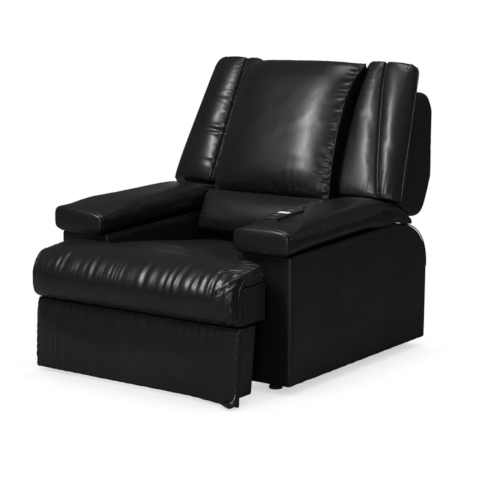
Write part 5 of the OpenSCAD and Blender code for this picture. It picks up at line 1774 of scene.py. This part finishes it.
@dataclass
class Pillow(Piece):
    """The centre pillow: a boxed, crowned cushion gathered at its sides."""

    low: float = 203.0
    high: float = 735.0
    half: float = 245.4
    face: float = 194.0
    edge_at: tuple = (0.0, 0.06, 0.16, 0.3, 0.5, 0.7, 0.84, 0.94, 1.0)
    edges: tuple = (110.0, 122.0, 134.0, 142.0, 145.0, 142.0, 132.0, 116.0, 100.0)
    halves_left: tuple = (243.0, 246.0, 247.0, 246.0, 245.0, 247.0, 250.0, 250.0, 246.0)
    halves_right: tuple = (242.0, 243.0, 240.0, 234.0, 226.0, 224.0, 229.0, 241.0, 245.0)
    power: float = 2.6
    across: float = 3.8
    board: float = -22.3
    rim_draw: float = -0.013
    side_gathers: Gather = Gather(3.1, 26.0, 24.0, 501)
    left_share: float = 0.3
    foot_folds: Gather = Gather(0.5, 30.0, 60.0, 503)
    head_folds: Gather = Gather(0.3, 27.0, 30.0, 505)
    slack: Slack = Slack(0.7, 170.0, 150.0, 507)
    sags: tuple = ((285.0, 0.30, 0.6, 15.0), (335.0, -0.15, 0.45, 14.0), (400.0, 0.4, 0.4, 18.0))
    sag_at: float = 50.0
    sag_reach: float = 90.0
    stuffing: Stuffing = Stuffing(1.4, 0.002, 0.008)
    pipe: float = 1.8
    pipe_out: float = 1.5
    rows: int = 112
    cols: int = 100
    rim: int = 12

    def build(self) -> list[Fill]:
        """Makes the pillow and fills it."""
        t, s = spread(self.rows, 0.5)[:, None], spread(self.cols, 0.5)[None]
        across = 2.0 * s - 1.0
        crown = swell(t, self.power) * (1.0 - np.abs(across) ** self.across)
        u = mix(self.low + 2.0, self.high - 3.0, t) + 0.0 * s
        edge = np.interp(t, self.edge_at, self.edges) + 0.0 * s
        half = np.where(across < 0.0, np.interp(t, self.edge_at, self.halves_left),
                        np.interp(t, self.edge_at, self.halves_right))
        x = half * across
        front = on_back(x, -edge - (self.face - 7.0 - edge) * crown, u)
        rear = on_back((self.half - 3.0) * across + 0.0 * t, self.board, u)
        form = hull(front, rear, self.rim, bulge=self.rim_draw)
        self.form, self.up = form, u
        self.things["pillow"] = make_object("centre_pillow", form.points, form.faces)
        hold = form.spread_values(held_edge(self.rows, self.cols), 1.0)
        return [Fill(self.things["pillow"], hold, self.stuffing)]

    def dress(self, shop: Shop) -> None:
        """Gathers the sides, folds the lower middle, and pipes the pillow's outline."""
        thing = self.things["pillow"]
        grid = self.form.face(get_points(thing.data)) * 1000.0
        x, up = grid[..., 0], self.up
        end = np.where(x > 0.0, x[:, -1:] - x, x - x[:, :1])
        lift = np.where(x > 0.0, 1.0, self.left_share) * self.side_gathers.lift(up, end)
        lift += self.foot_folds.lift(x, up - self.low) + self.head_folds.lift(x, self.high - up)
        lift += self.slack.lift(x, up)
        for at, slope, depth, width in self.sags:
            line = up - at - slope * x
            sag = 0.5 * bell(line - 2.2 * width, width) - bell(line, width)
            lift += depth * sag * bell(x - self.sag_at, self.sag_reach)
        push(thing, self.form.spread_values(lift * smooth(end / 8.0)) / 1000.0)
        shop.hand_over(thing, SOFT_LEATHER, "back", ["back_pillow"], levels=1)
        face = self.form.face(get_points(thing.data))
        loop = face.reshape(-1, 3)[border(self.rows, self.cols)]
        back_way = (on_back(0.0, 1.0, 0.0) - on_back(0.0, 0.0, 0.0)) * 1000.0
        loop = np.concatenate([loop, loop[:1]]) - back_way * self.pipe_out / 1000.0
        piping = make_object("pillow_piping", *tube(resample(loop, 420), self.pipe / 1000.0, back_way))
        shop.hand_over(piping, PIPING_LEATHER, "back", levels=1)


@dataclass
class LumbarRoll(Piece):
    """The roll between the seat cushion and the pillow."""

    low: float = 46.0
    rear_low: float = 48.0
    high: float = 201.0
    half: float = 254.0
    edge: float = 146.0
    face: float = 183.0
    board: float = -22.3
    head_folds: Gather = Gather(0.4, 31.0, 40.0, 601)
    foot_folds: Gather = Gather(0.4, 36.0, 36.0, 603)
    end_folds: Gather = Gather(0.6, 28.0, 44.0, 605)
    slack: Slack = Slack(0.5, 140.0, 110.0, 607)
    stuffing: Stuffing = Stuffing(2.0, 0.002, 0.010)
    pipe: float = 2.0
    rows: int = 44
    cols: int = 90

    def build(self) -> list[Fill]:
        """Makes the roll and fills it."""
        t, s = spread(self.rows, 0.5)[:, None], spread(self.cols, 0.4)[None]
        crown = swell(t, 2.4) * swell(s, 5.0)
        x = (self.half - 3.0) * (2.0 * s - 1.0) + 0.0 * t
        out = mix(-self.edge, -self.face + 7.0, crown)
        front = on_back(x, out, mix(self.low, self.high - 2.0, t) + 0.0 * s)
        rear = on_back(x, self.board, mix(self.rear_low, self.high - 2.0, t) + 0.0 * s)
        form = hull(front, rear, 10, bulge=0.001)
        self.form = form
        self.things["roll"] = make_object("lumbar_roll", form.points, form.faces)
        hold = form.spread_values(held_edge(self.rows, self.cols), 1.0)
        return [Fill(self.things["roll"], hold, self.stuffing)]

    def dress(self, shop: Shop) -> None:
        """Gathers the roll at its upper seam and its ends, and pipes its upper edge."""
        thing = self.things["roll"]
        grid = self.form.face(get_points(thing.data)) * 1000.0
        x = grid[..., 0]
        run = np.concatenate([np.zeros((1, self.cols)),
                              np.cumsum(np.linalg.norm(np.diff(grid, axis=0), axis=2), axis=0)])
        end = self.half - np.abs(x)
        lift = self.head_folds.lift(x, run.max() - run) + self.foot_folds.lift(x, run)
        lift += self.end_folds.lift(run, end) + self.slack.lift(x, run)
        push(thing, self.form.spread_values(lift * smooth(end / 10.0)) / 1000.0)
        shop.hand_over(thing, SOFT_LEATHER, "back", ["lumbar_cushion"], levels=1)
        face = self.form.face(get_points(thing.data))
        piping = make_object("lumbar_piping", *tube(face[-1, 1:-1], self.pipe / 1000.0, (0.0, 0.9, 0.4)))
        shop.hand_over(piping, PIPING_LEATHER, "back", levels=1)


@dataclass
class Handset(Piece):
    """The wired handset on the right pad, and its lead over the pad's inner edge."""

    place: tuple = (360.0, 52.0, 536.697)
    tilt: float = math.atan((ArmBox.rear_top - ArmBox.front_top) / ArmBox.round_start)
    turn: float = math.radians(4.0)
    width: float = 62.0
    length: float = 182.0
    thick: float = 17.0
    corner_power: float = 0.36
    edge_round: float = 2.2
    groove: float = 0.5
    groove_width: float = 0.7
    middle_share: float = 0.45
    waist_share: float = 0.035
    waist_reach: float = 45.0
    stub: float = 26.0
    stub_radii: tuple = (0.0060, 0.0034)
    ribs: int = 6
    rib_share: float = 0.16
    lead_in: float = 8.0
    route: tuple = ((263, 395, 425), (258, 395, 425), (254, 395, 427), (251, 394, 432), (250, 393, 440),
                    (251, 390, 456), (254, 386, 474), (259, 381, 492), (263, 377, 508), (267, 373, 523),
                    (272, 369, 533), (280, 363, 540), (291, 354, 545), (303, 343, 548), (315, 328, 549),
                    (326, 310, 550), (335, 291, 552))
    radius: float = 0.0025
    held: int = 40

    def at(self, local: Grid) -> Grid:
        """Turns places on the handset into frame metres.

        It is tilted about X by the pad's slope, then turned about Z.

        Args:
            local: Points in the handset's own mm, with y along it.

        Returns:
            Points in frame metres.
        """
        local = np.asarray(local, dtype=float)
        x, y, z = local[..., 0], local[..., 1], local[..., 2]
        c, s = math.cos(self.tilt), math.sin(self.tilt)
        y, z = y * c - z * s, y * s + z * c
        c, s = math.cos(self.turn), math.sin(self.turn)
        x, y = x * c - y * s, x * s + y * c
        return row(np.stack([x, y, z], axis=-1) + np.array(self.place))

    def lead(self, shop: Shop) -> None:
        end = self.length + self.stub
        last = [self.at([0.0, y, self.thick / 2.0]) for y in (end + self.lead_in, end)]
        points = np.concatenate([row(np.array(self.route, dtype=float)), last])
        knots, at = np.linspace(0.0, 1.0, len(points)), np.linspace(0.0, 1.0, 140)
        fine = np.stack([np.interp(at, knots, points[:, k]) for k in range(3)], axis=1)
        kernel = np.hanning(9)[1:-1] / np.hanning(9)[1:-1].sum()
        padded = np.concatenate([2.0 * fine[:1] - fine[3:0:-1], fine, 2.0 * fine[-1:] - fine[-2:-5:-1]])
        path = np.stack([np.convolve(padded[:, k], kernel, "valid") for k in range(3)], axis=1)
        path[0], path[-1] = points[0], points[-1]
        turned = np.cross(np.gradient(path, axis=0), (0.25, 0.1, 1.0))
        thing = make_object("handset_lead", *tube(path, self.radius, turned, 12))
        thing.data.materials.append(shop.material(HARDWARE["lead_rubber"]))
        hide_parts("handset_cord")
        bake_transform(thing)

    def build(self) -> list[Fill]:
        """Makes the case: a rounded, slightly waisted shell with a seam round its middle."""
        turn = np.linspace(0.0, 2.0 * np.pi, 96, endpoint=False)
        level = np.linspace(0.0, 1.0, 22)
        rings = []
        c, s = np.cos(turn), np.sin(turn)
        across = np.sign(c) * np.abs(c) ** self.corner_power
        along = np.sign(s) * np.abs(s) ** self.corner_power
        for h in level:
            edge = 1.0 - (abs(2.0 * h - 1.0) ** 6.0)
            less = self.edge_round * (1.0 - edge ** (1.0 / 3.0))
            less += self.groove * float(bell((h - self.middle_share) * self.thick, self.groove_width))
            y = self.length / 2.0 + (self.length / 2.0 - less) * along
            waist = 1.0 - self.waist_share * bell(y - self.middle_share * self.length, self.waist_reach)
            x = (self.width / 2.0 - less) * across * waist
            rings.append(np.stack([x, y, np.full(x.shape, 0.15 + h * (self.thick - 0.25))], axis=-1))
        rings = self.at(np.array(rings))
        case = sleeve(rings, rings[0].mean(axis=0), rings[-1].mean(axis=0))
        run = np.linspace(self.length - 3.0, self.length + self.stub, 60)
        share = (run - run[0]) / (run[-1] - run[0])
        dips = (0.5 - 0.5 * np.cos(2.0 * np.pi * self.ribs * share)) * (share > 0.15)
        radius = mix(*self.stub_radii, share) * (1.0 - self.rib_share * dips)
        relief = tube(self.at(np.column_stack([0.0 * run, run, np.full(60, self.thick / 2.0)])), radius,
                      (0.0, 0.0, 1.0), 20)
        self.things["case"] = make_object("handset_body", *join_parts([case, relief]))
        return []

    def dress(self, shop: Shop) -> None:
        """Hands the case over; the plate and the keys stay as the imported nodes."""
        case = self.things["case"]
        shop.hand_over(case, HARDWARE["handset_plastic"], "handset", ["handset_case"], levels=1)


@dataclass
class Seat:
    """The whole recliner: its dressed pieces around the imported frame."""

    frame: dict

    def finish_nodes(self, shop: Shop) -> None:
        """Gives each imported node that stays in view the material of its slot."""
        slots = {part["node"]: part["material_slot"] for part in self.frame["record"]["subparts"]}
        leathers = {"leather": PANEL_LEATHER, "leather_soft": SOFT_LEATHER}
        for name, thing in self.frame["nodes"].items():
            material = shop.material({**HARDWARE, **leathers}[slots[name]])
            for place in thing.material_slots:
                place.material = material

    def make(self) -> None:
        """Builds, fills and dresses every piece in order."""
        shop = Shop(Groups())
        handset = Handset()
        handset.lead(shop)
        self.finish_nodes(shop)
        pieces: list[Piece] = [handset]
        for side in Side:
            pieces += [ArmBox(side=side), ArmPad(side=side), Wing(side=side)]
        pieces += [SeatFront(), Footrest(), BackShell(), Pillow(), LumbarRoll()]
        fills = [fill for piece in pieces for fill in piece.build()]
        fill_cushions(fills)
        for piece in pieces:
            piece.dress(shop)
            LOG.info("%s is dressed", type(piece).__name__)


def main() -> None:
    """Builds the studio and the seat."""
    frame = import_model()
    studio = Studio()
    studio.camera()
    Seat(frame).make()
    studio.light()
    studio.floor()


if __name__ == "__main__":
    main()
